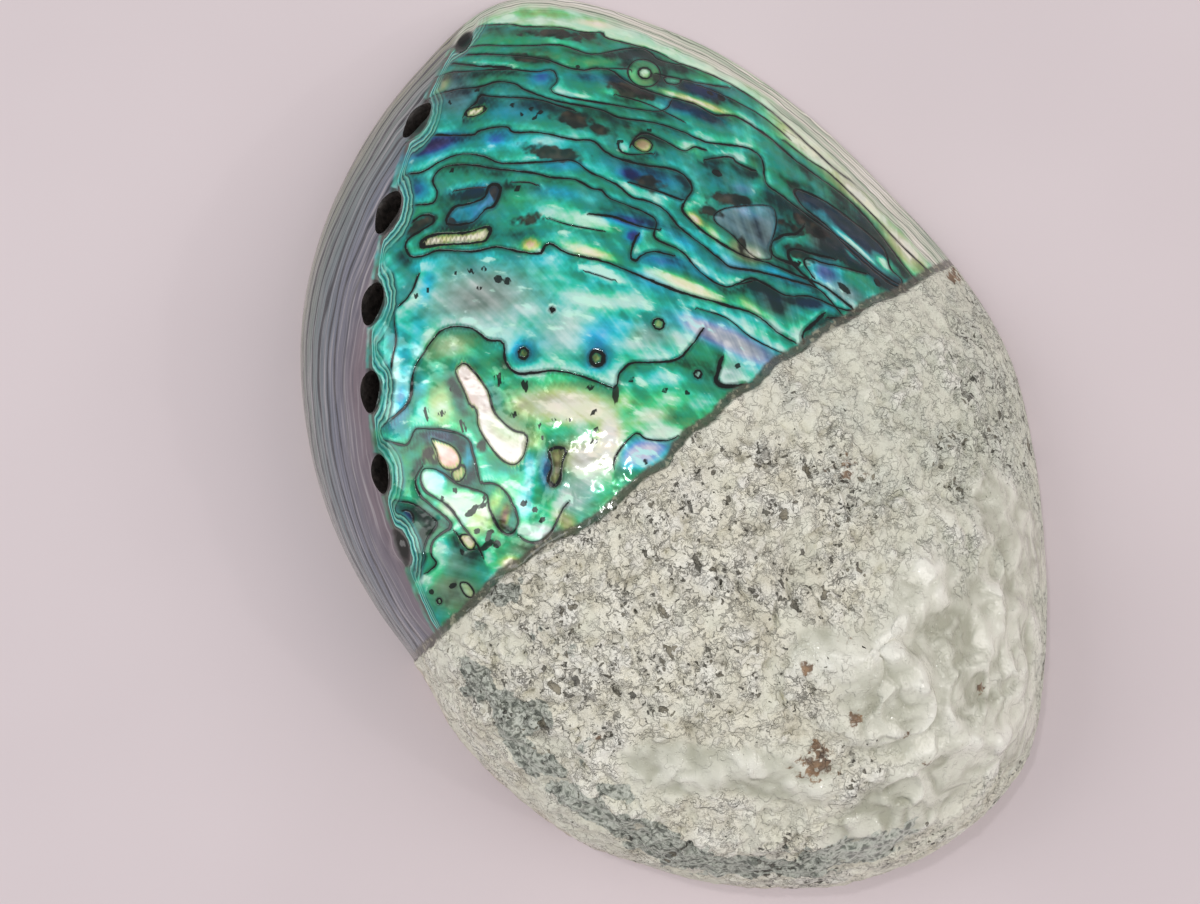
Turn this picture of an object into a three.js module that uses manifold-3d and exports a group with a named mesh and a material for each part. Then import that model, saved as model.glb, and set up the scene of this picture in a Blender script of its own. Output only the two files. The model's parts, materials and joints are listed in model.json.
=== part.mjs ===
// An abalone shell lying on its lip, dome up, one piece of grown lime and nacre.
// The front half is ground and polished, the back half keeps its lime crust.
// Millimetres. +Z is up, +Y points to the front lip, and the row of breathing holes is on the -X side.
// The origin is on the plane that the lip rests on, under the middle of the outline.

import * as THREE from "three";
import { mergeVertices } from "three/addons/utils/BufferGeometryUtils.js";
import Module from "manifold-3d";

const DEGREE = Math.PI / 180;

// The dome, in polar form about its crown.
const DOME_HEIGHT = 40;
const CROWN = { x: -8, y: -12 };
// Distance from the crown to the lip, every 15 degrees counter-clockwise from +X.
const LIP_RADII = [
  61.1, 62.3, 64.8, 70.8, 78.8, 85.6, 82.4, 75, 67.1, 58.9, 52.1, 46.6,
  43.4, 44.6, 45.8, 48.4, 51.0, 55.2, 60.4, 64.5, 65.9, 61.9, 59.4, 59.3,
];
const MEAN_RADIUS = 58;
// The blunt corner at the front of the lip.
const FRONT_CORNER = { angle: 80 * DEGREE, reach: 2.4, width: 8 * DEGREE };
// The wall is gentle towards GENTLE_SIDE and steep across from it.
const GENTLE_SIDE = 50 * DEGREE;
const CROWN_POWER = { gentle: 1.6, steep: 2.4 };
const WALL_POWER = { gentle: 1.15, steep: 2.1 };
const SIDE_POWER = 0.7;
// Ridge and spire fade out at this power of the way to the lip, the crust at this other.
const RELIEF_FADE = 8;
const CRUST_FADE = 12;

// The shell grows in a logarithmic spiral about the spire. The holes lie on that spiral.
const SPIRE = { x: 10, y: -41 };
const SPIRAL_RATE = 0.63;
const SPIRAL_START = { angle: 101.9 * DEGREE, radius: 105.6 };
const SPIRAL_PITCH = Math.cos(Math.atan(SPIRAL_RATE));
const RIDGE = { height: 2.6, width: 6.5, turns: 350 * DEGREE, worn: 8, whole: 50 };
const SPIRE_KNOB = { height: 3.4, radius: 15 };
const SUTURE = { depth: 1.1, width: 1.9, rate: 0.263, endRadius: 33, endAngle: -8 * DEGREE, inner: 3.5 };

// Breathing holes: open ones at equal angles about the spire, each longer than the last.
const OPEN_HOLES = 5;
const HOLE_STEP = 7.3 * DEGREE;
const HOLE = { length: 7.2, width: 4.6, shrink: 0.93, rise: 0.9, depth: 9, flare: 1.18, sides: 16 };

// The lime crust stands proud of the polished half, behind a line across the shell.
const CRUST = { thickness: 1.1, ramp: 1.6 };
const CRUST_EDGE = [
  [-60, -13], [-52, -10.8], [-44, -8.2], [-36, -6.3], [-27, -4.6], [-19, -3.7], [-11, -3.1],
  [-3, -1.2], [5, 0.8], [13, 2.4], [21, 3.8], [30, 4.4], [40, 4.3], [60, 3.6],
];

// Wall thickness, and the width of the lip where it rests: thin at the outer lip, a shelf on the -X side.
const WALL = 3.1;
const LIP_WIDTH = 3.0;
const SHELF = { extra: 7.0, from: 95, full: 150, leave: 275, to: 325 };
const STEEPEST_OFFSET = 2.2;

// Facet sizes.
const OUTER = { rings: 26, facet: 3.6 };
const INNER = { rings: 17, facet: 4.6 };
const CEILING_POWER = 8;
const SLOPE_STEP = 0.5;

const mix = (a, b, t) => a + (b - a) * t;
const smooth = (low, high, x) => THREE.MathUtils.smoothstep(x, low, high);
const gauss = (x) => Math.exp(-x * x);

// Smooth closed interpolation of equally spaced values.
function cyclic(values, turns) {
  const n = values.length;
  const t = (turns - Math.floor(turns)) * n;
  const i = Math.floor(t);
  const f = t - i;
  const [a, b, c, d] = [-1, 0, 1, 2].map((k) => values[(i + k + n) % n]);
  return b + 0.5 * f * (c - a + f * (2 * a - 5 * b + 4 * c - d + f * (3 * (b - c) + d - a)));
}

// The angle from b to a, between -pi and pi.
const turnBetween = (a, b) => Math.atan2(Math.sin(a - b), Math.cos(a - b));

const lipRadius = (angle) =>
  cyclic(LIP_RADII, angle / (2 * Math.PI)) +
  FRONT_CORNER.reach * gauss(turnBetween(angle, FRONT_CORNER.angle) / FRONT_CORNER.width);

function polar(x, y, about) {
  return { radius: Math.hypot(x - about.x, y - about.y), angle: Math.atan2(y - about.y, x - about.x) };
}

// Radius of the growth spiral at an angle about the spire; each turn inwards adds 2 pi to the angle.
const spiralRadius = (angle) =>
  SPIRAL_START.radius * Math.exp(-SPIRAL_RATE * (angle - SPIRAL_START.angle));

// Across-track distance to the ridge that carries the holes, on the nearest turn.
function ridgeDistance(x, y) {
  const { radius, angle } = polar(x, y, SPIRE);
  let best = Infinity;
  for (let turn = angle; turn < SPIRAL_START.angle + RIDGE.turns; turn += 2 * Math.PI)
    if (turn > SPIRAL_START.angle - 2 * HOLE_STEP)
      best = Math.min(best, Math.abs(radius - spiralRadius(turn)) * SPIRAL_PITCH);
  return best;
}

function ridgeRelief(x, y) {
  const { radius, angle } = polar(x, y, SPIRE);
  const across = ridgeDistance(x, y) / RIDGE.width;
  const beads = 0.5 + 0.5 * Math.cos((2 * Math.PI * (angle - SPIRAL_START.angle)) / HOLE_STEP);
  const kept = smooth(RIDGE.worn, RIDGE.whole, radius);
  return gauss(across) * kept * (RIDGE.height + HOLE.rise * beads * gauss(across));
}

function spireRelief(x, y) {
  const { radius, angle } = polar(x, y, SPIRE);
  let groove = 0;
  for (let turn = angle - 2 * Math.PI; turn < angle + 6 * Math.PI; turn += 2 * Math.PI) {
    const line = SUTURE.endRadius * Math.exp(-SUTURE.rate * (turn - SUTURE.endAngle));
    if (turn >= SUTURE.endAngle && line > SUTURE.inner)
      groove = Math.max(groove, gauss((radius - line) / SUTURE.width));
  }
  return SPIRE_KNOB.height * gauss(radius / SPIRE_KNOB.radius) - SUTURE.depth * groove;
}

// The y of the crust's front edge at x.
function crustEdge(x) {
  const i = CRUST_EDGE.findIndex(([right]) => right > x) - 1;
  const [x0, y0] = CRUST_EDGE[i];
  const [x1, y1] = CRUST_EDGE[i + 1];
  return mix(y0, y1, (x - x0) / (x1 - x0));
}

// Height of the shell's own outside over the plane that it rests on, without the crust.
function domeHeight(x, y) {
  const { radius, angle } = polar(x, y, CROWN);
  const u = Math.min(1, radius / lipRadius(angle));
  const steep = Math.sin((angle - GENTLE_SIDE) / 2) ** 2;
  const side = steep ** SIDE_POWER;
  const crownPower = mix(CROWN_POWER.gentle, CROWN_POWER.steep, side);
  const wallPower = mix(WALL_POWER.gentle, WALL_POWER.steep, side);
  const dome = DOME_HEIGHT * (1 - u ** crownPower) ** (1 / wallPower);
  return dome + (1 - u ** RELIEF_FADE) * (ridgeRelief(x, y) + spireRelief(x, y));
}

function outerHeight(x, y) {
  const { radius, angle } = polar(x, y, CROWN);
  const u = Math.min(1, radius / lipRadius(angle));
  const crust = CRUST.thickness * (1 - smooth(-CRUST.ramp / 2, CRUST.ramp / 2, y - crustEdge(x)));
  return domeHeight(x, y) + crust * (1 - u ** CRUST_FADE);
}

function slopeAt(x, y) {
  const dx = (domeHeight(x + SLOPE_STEP, y) - domeHeight(x - SLOPE_STEP, y)) / (2 * SLOPE_STEP);
  const dy = (domeHeight(x, y + SLOPE_STEP) - domeHeight(x, y - SLOPE_STEP)) / (2 * SLOPE_STEP);
  return { dx, dy, steepness: Math.min(STEEPEST_OFFSET, Math.hypot(dx, dy)) };
}

// Width of the resting lip: a thin edge round the outer lip, a wide shelf along the row of holes.
function lipWidth(angle) {
  const degrees = ((angle / DEGREE) % 360 + 360) % 360;
  const shelf = smooth(SHELF.from, SHELF.full, degrees) * (1 - smooth(SHELF.leave, SHELF.to, degrees));
  return LIP_WIDTH + SHELF.extra * shelf;
}

// Height of the hollow's ceiling; w runs from 0 under the crown to 1 at the inner edge of the lip.
function ceilingHeight(x, y, w) {
  const under = domeHeight(x, y) - WALL * Math.hypot(1, slopeAt(x, y).steepness);
  return Math.max(0, under) * Math.sqrt(1 - w ** CEILING_POWER);
}

// One ring of points about the crown, as [x, y, z] with their angles.
function ring(share, facet, reach, height) {
  const count = Math.max(8, Math.round((2 * Math.PI * MEAN_RADIUS * share) / facet));
  return Array.from({ length: count }, (_, i) => {
    const angle = (2 * Math.PI * (i + 0.5)) / count;
    const r = share * reach(angle);
    const x = CROWN.x + r * Math.cos(angle);
    const y = CROWN.y + r * Math.sin(angle);
    return { angle, point: [x, y, height(x, y, share)] };
  });
}

// Rings closer together where the wall is steep.
const ringShare = (i, rings) => Math.sin((Math.PI / 2) * (i / rings));

function buildSurfaces() {
  const outer = [];
  const inner = [];
  const innerReach = (angle) => lipRadius(angle) - lipWidth(angle);
  for (let i = 1; i <= OUTER.rings; i++) {
    const share = ringShare(i, OUTER.rings);
    outer.push(ring(share, OUTER.facet, lipRadius, i === OUTER.rings ? () => 0 : outerHeight));
  }
  for (let i = 1; i <= INNER.rings; i++) {
    const share = ringShare(i, INNER.rings);
    inner.push(ring(share, INNER.facet, innerReach, i === INNER.rings ? () => 0 : ceilingHeight));
  }
  return { outer, inner };
}

// Triangles between two rings of different counts, facing away from the first ring's far side.
function stitch(near, far, triangles) {
  let i = 0;
  let j = 0;
  const n = near.length;
  const m = far.length;
  const at = (list, k) => list[k % list.length].point;
  const angleAt = (list, k) => list[k % list.length].angle + 2 * Math.PI * Math.floor(k / list.length);
  while (i < n || j < m) {
    if (j >= m || (i < n && angleAt(near, i + 1) < angleAt(far, j + 1))) {
      triangles.push(at(near, i), at(far, j), at(near, i + 1));
      i++;
    } else {
      triangles.push(at(near, i), at(far, j), at(far, j + 1));
      j++;
    }
  }
}

function fan(centre, first, triangles) {
  first.forEach(({ point }, i) => triangles.push(centre, point, first[(i + 1) % first.length].point));
}

const flipped = (triangles) =>
  triangles.map((_, i) => triangles[i - (i % 3) + [0, 2, 1][i % 3]]);

// The closed shell before its holes are cut: dome, underside of the lip, ceiling of the hollow.
function shellGeometry() {
  const { outer, inner } = buildSurfaces();
  const top = [];
  fan([CROWN.x, CROWN.y, outerHeight(CROWN.x, CROWN.y)], outer[0], top);
  for (let i = 1; i < outer.length; i++) stitch(outer[i - 1], outer[i], top);
  const below = [];
  fan([CROWN.x, CROWN.y, ceilingHeight(CROWN.x, CROWN.y, 0)], inner[0], below);
  for (let i = 1; i < inner.length; i++) stitch(inner[i - 1], inner[i], below);
  stitch(inner.at(-1), outer.at(-1), below);
  const positions = [...top, ...flipped(below)].flat();
  return new THREE.BufferGeometry().setAttribute("position", new THREE.Float32BufferAttribute(positions, 3));
}

// A flared oval plug on the ridge, square to the shell's surface, that cuts one breathing hole.
function holePlug(index) {
  const angle = SPIRAL_START.angle + index * HOLE_STEP;
  const r = spiralRadius(angle);
  const x = SPIRE.x + r * Math.cos(angle);
  const y = SPIRE.y + r * Math.sin(angle);
  const { dx, dy } = slopeAt(x, y);
  const normal = new THREE.Vector3(-dx, -dy, 1).normalize();
  const size = HOLE.shrink ** Math.abs(index - 1);
  const heading = angle - Math.atan(1 / SPIRAL_RATE);
  const along = new THREE.Vector3(Math.cos(heading), Math.sin(heading), 0);
  along.addScaledVector(normal, -along.dot(normal)).normalize();
  const across = new THREE.Vector3().crossVectors(normal, along);
  const plug = new THREE.CylinderGeometry(HOLE.flare / 2, 0.5, 2 * HOLE.depth, HOLE.sides);
  plug.scale(HOLE.width * size, 1, HOLE.length * size);
  const basis = new THREE.Matrix4().makeBasis(across, normal, along);
  basis.setPosition(x, y, outerHeight(x, y));
  return plug.applyMatrix4(basis);
}

const wasm = await Module();
wasm.setup();

function toSolid(geometry) {
  const bare = geometry.clone();
  bare.deleteAttribute("normal");
  bare.deleteAttribute("uv");
  const merged = mergeVertices(bare, 1e-4);
  return new wasm.Manifold(
    new wasm.Mesh({
      numProp: 3,
      vertProperties: merged.attributes.position.array,
      triVerts: new Uint32Array(merged.index.array),
    }),
  );
}

function fromSolid(solid) {
  const mesh = solid.getMesh();
  return new THREE.BufferGeometry()
    .setAttribute("position", new THREE.BufferAttribute(mesh.vertProperties, 3))
    .setIndex(new THREE.BufferAttribute(mesh.triVerts, 1));
}

let solid = toSolid(shellGeometry());
for (let index = 0; index < OPEN_HOLES; index++) solid = solid.subtract(toSolid(holePlug(index)));
const geometry = fromSolid(solid);
geometry.computeVertexNormals();

// The origin goes under the middle of the outline.
geometry.computeBoundingBox();
const middle = geometry.boundingBox.getCenter(new THREE.Vector3());
const nacre = new THREE.MeshStandardMaterial({ color: 0x5fa897, roughness: 0.35, metalness: 0.1 });
const shell = new THREE.Mesh(geometry, nacre);
shell.name = "shell";
shell.position.set(-middle.x, -middle.y, 0);

const part = new THREE.Group();
part.add(shell);
export default part;
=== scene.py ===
import functools
import itertools
import json
import math

import bmesh
import bpy
import numpy as np
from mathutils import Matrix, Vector

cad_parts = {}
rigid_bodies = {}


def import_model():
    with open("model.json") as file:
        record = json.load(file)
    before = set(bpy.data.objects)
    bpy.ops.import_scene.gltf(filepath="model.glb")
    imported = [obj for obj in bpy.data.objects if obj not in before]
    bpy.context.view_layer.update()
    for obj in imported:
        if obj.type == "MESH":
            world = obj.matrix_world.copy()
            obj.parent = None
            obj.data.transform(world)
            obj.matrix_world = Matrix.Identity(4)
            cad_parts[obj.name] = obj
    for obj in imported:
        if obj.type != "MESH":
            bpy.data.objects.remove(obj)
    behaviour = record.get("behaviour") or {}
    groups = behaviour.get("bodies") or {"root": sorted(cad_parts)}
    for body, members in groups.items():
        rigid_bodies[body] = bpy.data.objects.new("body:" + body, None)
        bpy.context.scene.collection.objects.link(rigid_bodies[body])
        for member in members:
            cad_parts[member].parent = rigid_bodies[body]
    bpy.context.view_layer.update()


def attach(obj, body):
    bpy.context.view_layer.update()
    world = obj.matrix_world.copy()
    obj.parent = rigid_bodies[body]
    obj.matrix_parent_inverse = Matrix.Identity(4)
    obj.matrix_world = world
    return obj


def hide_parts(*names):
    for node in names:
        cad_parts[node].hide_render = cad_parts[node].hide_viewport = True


# An abalone shell resting on its lip. The front half is ground and polished down to its nacre, and the back
# half keeps its lime crust.
# Shapes below are in millimetres in the row frame: +Z up, +Y to the front lip, breathing holes on the -X
# side. Meshes are made in metres at the end.

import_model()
MM = 0.001
DEGREE = math.pi / 180

# ---------------------------------------------------------------- the dome, as the CAD node has it

DOME_HEIGHT = 40
CROWN = (-8, -12)
# From the crown to the lip, at even turns from +X.
LIP_RADII = np.array([
    61.1, 62.3, 64.8, 70.8, 78.8, 85.6, 82.4, 75, 67.1, 58.9, 52.1, 46.6,
    43.4, 44.6, 45.8, 48.4, 51.0, 55.2, 60.4, 64.5, 65.9, 61.9, 59.4, 59.3,
])
# A slight corner at the front tip.
FRONT_CORNER = {"angle": 80 * DEGREE, "reach": 2.4, "width": 8 * DEGREE}
# The dome falls away gently on one side and steeply on the other: the powers of its profile on each.
GENTLE_SIDE = 50 * DEGREE
CROWN_POWER = (1.6, 2.4)
WALL_POWER = (1.15, 2.1)
SIDE_POWER = 0.7
# The power by which ridge and spire flatten out towards the lip.
RELIEF_FADE = 8
# The shell grew round its spire in a log spiral, and its ridge carries the breathing holes.
SPIRE = (10, -41)
SPIRAL_RATE = 0.63
SPIRAL_START = {"angle": 101.9 * DEGREE, "radius": 105.6}
SPIRAL_PITCH = math.cos(math.atan(SPIRAL_RATE))
RIDGE = {"height": 2.6, "width": 6.5, "turns": 350 * DEGREE, "worn": 8, "whole": 50}
SPIRE_KNOB = {"height": 3.4, "radius": 15}
SUTURE = {
    "depth": 1.1, "width": 1.9, "rate": 0.263, "end_radius": 33, "end_angle": -8 * DEGREE, "inner": 3.5,
}
OPEN_HOLES = 5
WALL_SWEEP = (75 * DEGREE, 250 * DEGREE)
HOLE_STEP = 7.3 * DEGREE
HOLE = {"length": 7.2, "width": 4.6, "shrink": 0.93, "rise": 0.9}
# The shell's thickness, and its lip with the wider shelf on the spire's side.
WALL = 3.1
LIP_WIDTH = 3.0
SHELF = {"extra": 7.0, "from": 95, "full": 150, "leave": 275, "to": 325}
STEEPEST_OFFSET = 2.2
CEILING_POWER = 8

# Mesh rings from the crown to the lip, outside and inside. The outside has twice as many.
OUTER_RINGS = 136
INNER_RINGS = OUTER_RINGS // 2
# How evenly the rings spread in plan, next to along the surface.
PLAN_WEIGHT = 0.9
LIP_ROUND = 0.35
LIP_CHIPS = 0.18
# Faces that meet at more than this are drawn with a sharp edge between them.
SHARP_EDGE = 50 * DEGREE
# Half the usual width of a dark layer with its fringe, and of its black core.
LAYER_WIDTH = 0.2
LAYER_CORE = 0.15
LAYER_SETS = 3
# How much painted sheen the nacre gets just in front of a layer, and how much painted shade just behind it.
LAYER_SHINE = 0.46
LAYER_SHADE = 0.56
# A distance that stands for none, in mm, and the most that is told apart by the holes.
FAR = 1e3
NEAR_HOLES = 20


def smooth(low, high, x):
    t = np.clip((x - low) / (high - low), 0, 1)
    return t * t * (3 - 2 * t)


def mix(a, b, t):
    return a + (b - a) * t


def bell(x):
    return np.exp(-x * x)


def through(a, b, c, d, t):
    """The point at share t of a smooth curve from b to c, with a before them and d after."""
    return b + 0.5 * t * (c - a + t * (2 * a - 5 * b + 4 * c - d + t * (3 * (b - c) + d - a)))


def lip_radius(angle):
    n = len(LIP_RADII)
    t = (angle / (2 * math.pi)) % 1 * n
    i = np.floor(t).astype(int)
    curve = through(*(LIP_RADII[(i + k) % n] for k in (-1, 0, 1, 2)), t - i)
    off = (angle - FRONT_CORNER["angle"] + math.pi) % (2 * math.pi) - math.pi
    return curve + FRONT_CORNER["reach"] * bell(off / FRONT_CORNER["width"])


def polar(x, y, about):
    return np.hypot(x - about[0], y - about[1]), np.arctan2(y - about[1], x - about[0])


def spiral_radius(angle):
    return SPIRAL_START["radius"] * np.exp(-SPIRAL_RATE * (angle - SPIRAL_START["angle"]))


def ridge_offset(x, y):
    """Signed distance across the ridge that carries the holes, positive away from the spire."""
    radius, angle = polar(x, y, SPIRE)
    best = np.full(np.shape(x), FAR)
    for turn in (0, 1, 2):
        along = angle + 2 * math.pi * turn
        on_ridge = (along > SPIRAL_START["angle"] - 2 * HOLE_STEP) & (
            along < SPIRAL_START["angle"] + RIDGE["turns"])
        across = (radius - spiral_radius(along)) * SPIRAL_PITCH
        best = np.where(on_ridge & (np.abs(across) < np.abs(best)), across, best)
    return best


def ridge_relief(x, y):
    radius, angle = polar(x, y, SPIRE)
    across = ridge_offset(x, y) / RIDGE["width"]
    beads = 0.5 + 0.5 * np.cos(2 * math.pi * (angle - SPIRAL_START["angle"]) / HOLE_STEP)
    kept = smooth(RIDGE["worn"], RIDGE["whole"], radius)
    return bell(across) * kept * (RIDGE["height"] + HOLE["rise"] * beads * bell(across))


def spire_relief(x, y):
    radius, angle = polar(x, y, SPIRE)
    groove = np.zeros(np.shape(x))
    for turn in (-1, 0, 1, 2):
        along = angle + 2 * math.pi * turn
        line = SUTURE["end_radius"] * np.exp(-SUTURE["rate"] * (along - SUTURE["end_angle"]))
        live = (along >= SUTURE["end_angle"]) & (line > SUTURE["inner"])
        groove = np.maximum(groove, np.where(live, bell((radius - line) / SUTURE["width"]), 0))
    return SPIRE_KNOB["height"] * bell(radius / SPIRE_KNOB["radius"]) - SUTURE["depth"] * groove


def dome_height(x, y):
    radius, angle = polar(x, y, CROWN)
    u = np.minimum(1, radius / lip_radius(angle))
    side = (np.sin((angle - GENTLE_SIDE) / 2) ** 2) ** SIDE_POWER
    crown_power = mix(*CROWN_POWER, side)
    wall_power = mix(*WALL_POWER, side)
    dome = DOME_HEIGHT * (1 - u**crown_power) ** (1 / wall_power)
    return dome + (1 - u**RELIEF_FADE) * (ridge_relief(x, y) + spire_relief(x, y))


def slope(x, y, step=0.5):
    dx = (dome_height(x + step, y) - dome_height(x - step, y)) / (2 * step)
    dy = (dome_height(x, y + step) - dome_height(x, y - step)) / (2 * step)
    return dx, dy


def lip_width(angle):
    degrees = (angle / DEGREE) % 360
    risen = smooth(SHELF["from"], SHELF["full"], degrees)
    return LIP_WIDTH + SHELF["extra"] * (risen * (1 - smooth(SHELF["leave"], SHELF["to"], degrees)))


# ---------------------------------------------------------------- small helpers for markings

GRAIN_SEED = 11
GRAIN = np.random.default_rng(GRAIN_SEED).random((48, 48, 48))
GRAIN_SHIFT = 17.3


def lumps(points, size):
    """Smooth solid noise from -1 to 1, with lumps about size mm across."""
    p = points / size + GRAIN_SHIFT
    i = np.floor(p).astype(int)
    f = p - i
    f = f * f * (3 - 2 * f)
    total = np.zeros(len(points))
    for corner in itertools.product((0, 1), repeat=3):
        weight = np.prod(np.where(np.array(corner) == 1, f, 1 - f), axis=1)
        a, b, c = ((i + corner) % len(GRAIN)).T
        total += weight * GRAIN[a, b, c]
    return 2 * total - 1


def curved(points, closed=False, steps=4):
    """A smooth line through a few points."""
    p = np.array(points, float)
    n = len(p)
    out = []
    for i in range(n if closed else n - 1):
        near = [p[k % n] if closed else p[min(max(k, 0), n - 1)] for k in range(i - 1, i + 3)]
        out += [through(*near, t) for t in np.arange(steps) / steps]
    if not closed:
        out.append(p[-1])
    return np.array(out)


def steps_along(line, x, y, closed=False):
    """Each straight step of a line in turn: its start, its run, and the squared distance to it in plan."""
    ends = np.roll(line, -1, axis=0) if closed else line[1:]
    for (ax, ay), (bx, by) in zip(line, ends):
        dx, dy = bx - ax, by - ay
        t = np.clip(((x - ax) * dx + (y - ay) * dy) / (dx * dx + dy * dy + 1e-12), 0, 1)
        yield ax, ay, dx, dy, (x - ax - t * dx) ** 2 + (y - ay - t * dy) ** 2


def distance_to(line, x, y, closed=False):
    """Distance in plan from each point to a line."""
    best = np.full(np.shape(x), FAR**2)
    for *_, away in steps_along(line, x, y, closed):
        best = np.minimum(best, away)
    return np.sqrt(best)


def side_of(line, x, y):
    """Distance in plan to a line, positive on its left and negative on its right."""
    best = np.full(np.shape(x), FAR**2)
    sign = np.ones(np.shape(x))
    for ax, ay, dx, dy, away in steps_along(line, x, y):
        left = dx * (y - ay) - dy * (x - ax) > 0
        sign = np.where(away < best - 1e-9, np.where(left, 1, -1), sign)
        best = np.minimum(best, away)
    return np.sqrt(best) * sign


def within(line, x, y):
    """True where a point is inside a closed line."""
    odd = np.zeros(np.shape(x), bool)
    for (ax, ay), (bx, by) in zip(line, np.roll(line, -1, axis=0)):
        if ay == by:
            continue
        crosses = (y < ay) != (y < by)
        odd ^= crosses & (x < ax + (bx - ax) * (y - ay) / (by - ay))
    return odd


# ---------------------------------------------------------------- layers and tints of the nacre

# Dark layers that the grinding laid open, each from the holes to the right, from the front lip backwards.
# Each has half its drawn width and its points, and then further points where it runs on under the crust.
GROWTH_LAYERS = [
    (0.17, [(3, 72), (7.5, 69.5), (10, 67.5), (14.5, 65), (17.5, 62.5), (20, 61.5), (20, 60.3),
            (25.5, 55.5), (28, 52), (30.5, 49.5), (34, 45), (37.5, 38.5), (40, 31), (42, 25.5), (45, 20),
            (47.5, 14.5), (48.5, 5.5)], []),
    (0.22, [(-3.5, 69.5), (-1.5, 68.5), (1, 67), (5.5, 64), (10, 60.5), (12, 58), (14, 56.5), (16, 56),
            (18, 54.5), (18.7, 52.5), (20.5, 50), (23, 47.5), (26.5, 44.5), (28.5, 41.5), (31.5, 40),
            (34.5, 35), (36.5, 29.5), (40.5, 21.5), (42, 16), (43, 8), (43.5, 5)], []),
    (0.2, [(-12.5, 63.7), (-8, 64.2), (-4, 63), (-1, 61.5), (1.5, 61), (3, 60), (4, 59), (4.7, 57.5),
           (8, 53.5), (13, 49.5), (15, 47), (19.5, 44), (22.5, 41), (25, 38), (27.5, 36.5), (30.5, 34.5),
           (31.5, 32), (30, 28.5), (31, 26), (32.5, 22.5), (34.5, 18.5), (37, 13.5), (38.5, 9), (41, 5)],
           []),
    (0.22, [(-15.5, 59.5), (-12.5, 58.5), (-10.5, 58), (-5.5, 55), (-4, 55), (-0.5, 53.5), (0.2, 52),
            (3.5, 50), (7.5, 46.5), (9.7, 45.3), (11, 42), (14.5, 38.7), (17.5, 36.7), (19.2, 34.7),
            (19.3, 32.3), (17.3, 31), (16.2, 30), (16.5, 28.5), (17.5, 25.5), (20.5, 20.5), (24, 17),
            (26.5, 14), (29.5, 10.5), (31.5, 6)], []),
    (0.2, [(-23.5, 49.5), (-21, 50), (-19.2, 50.5), (-19, 52.5), (-18.3, 53.7), (-17, 54.5), (-14.5, 53.5),
           (-11, 53.6), (-8, 53), (-5.5, 51), (-3.5, 48.5), (2, 45.5), (5.7, 43.7), (7, 41), (9.5, 37.7),
           (10.5, 35), (12.5, 33.3), (14, 31), (14.5, 28), (16, 24.5), (17.5, 21), (18.3, 19.3), (21.5, 17),
           (25, 14), (28.5, 10.5), (29.5, 6)], []),
    (0.2, [(-24.3, 48.3), (-21.5, 49), (-19.5, 49.8), (-18, 49.5), (-15.2, 48.3), (-13.9, 49.5),
           (-13.7, 51.6), (-11.5, 52.5), (-8, 51), (-4.5, 48), (-0.5, 45), (1.5, 43), (4.5, 41), (6, 38.7),
           (7.2, 37.8), (7.7, 36), (11, 32.2), (12, 30), (10.5, 28), (13, 24.5), (14, 20.5), (16.2, 17),
           (20, 16.5), (21.5, 15), (23.5, 12), (27, 10), (30.5, 6), (36, 3.5)], []),
    (0.23, [(-24.5, 47), (-22.5, 48), (-19.5, 47.2), (-17.5, 47.4), (-16.1, 46.5), (-16.6, 45.5),
            (-20.5, 45.2), (-21.8, 44.2), (-21.6, 42.5), (-20, 41.7), (-17.5, 41.2), (-13.5, 38.7),
            (-10, 37.4), (-7.5, 35.2), (-5, 33.5), (-4, 34.1), (-3, 34), (-2.3, 32.7), (-1, 31), (2, 28.5),
            (4.5, 25.7), (9.5, 19.7), (14.5, 15), (18, 11.5), (19.5, 8), (21, 5.5)], []),
    (0.23, [(-36, 22.5), (-33, 23), (-31, 24), (-28.7, 27.3), (-26, 29), (-24, 30), (-22.5, 30.5),
            (-20.5, 30), (-18.5, 28.5), (-17.3, 26), (-15.8, 25), (-15.6, 24), (-16.5, 22), (-16, 20),
            (-14, 18.8), (-11, 17.5), (-8, 15), (-5.2, 11.8), (-4.3, 11.7), (-3.3, 12.9), (-1, 13.4),
            (1.5, 12.2), (4.5, 11), (7, 11.5), (10, 13)], [(11.5, 9), (12, 3), (12, -6)]),
    (0.2, [(-37, 20.5), (-35, 18.6), (-34, 18.5), (-32.5, 19.6), (-31.5, 19.4), (-28.5, 17.5), (-26.2, 15),
           (-26.6, 12.5), (-27, 10.5), (-27.5, 8.6), (-26, 7.8), (-25, 6.2), (-24.8, 4), (-25.2, 1.5),
           (-26.5, 0.4), (-27.5, 0.6), (-28.1, 2), (-28, 5), (-27.5, 6.7), (-29, 8.5), (-30.5, 10),
           (-31.5, 12), (-32.5, 13.5), (-34, 14.1), (-35, 13), (-35, 11), (-33.2, 8), (-32.5, 4),
           (-32, 1.5), (-32, -0.5)], [(-32, -8)]),
]

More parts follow.
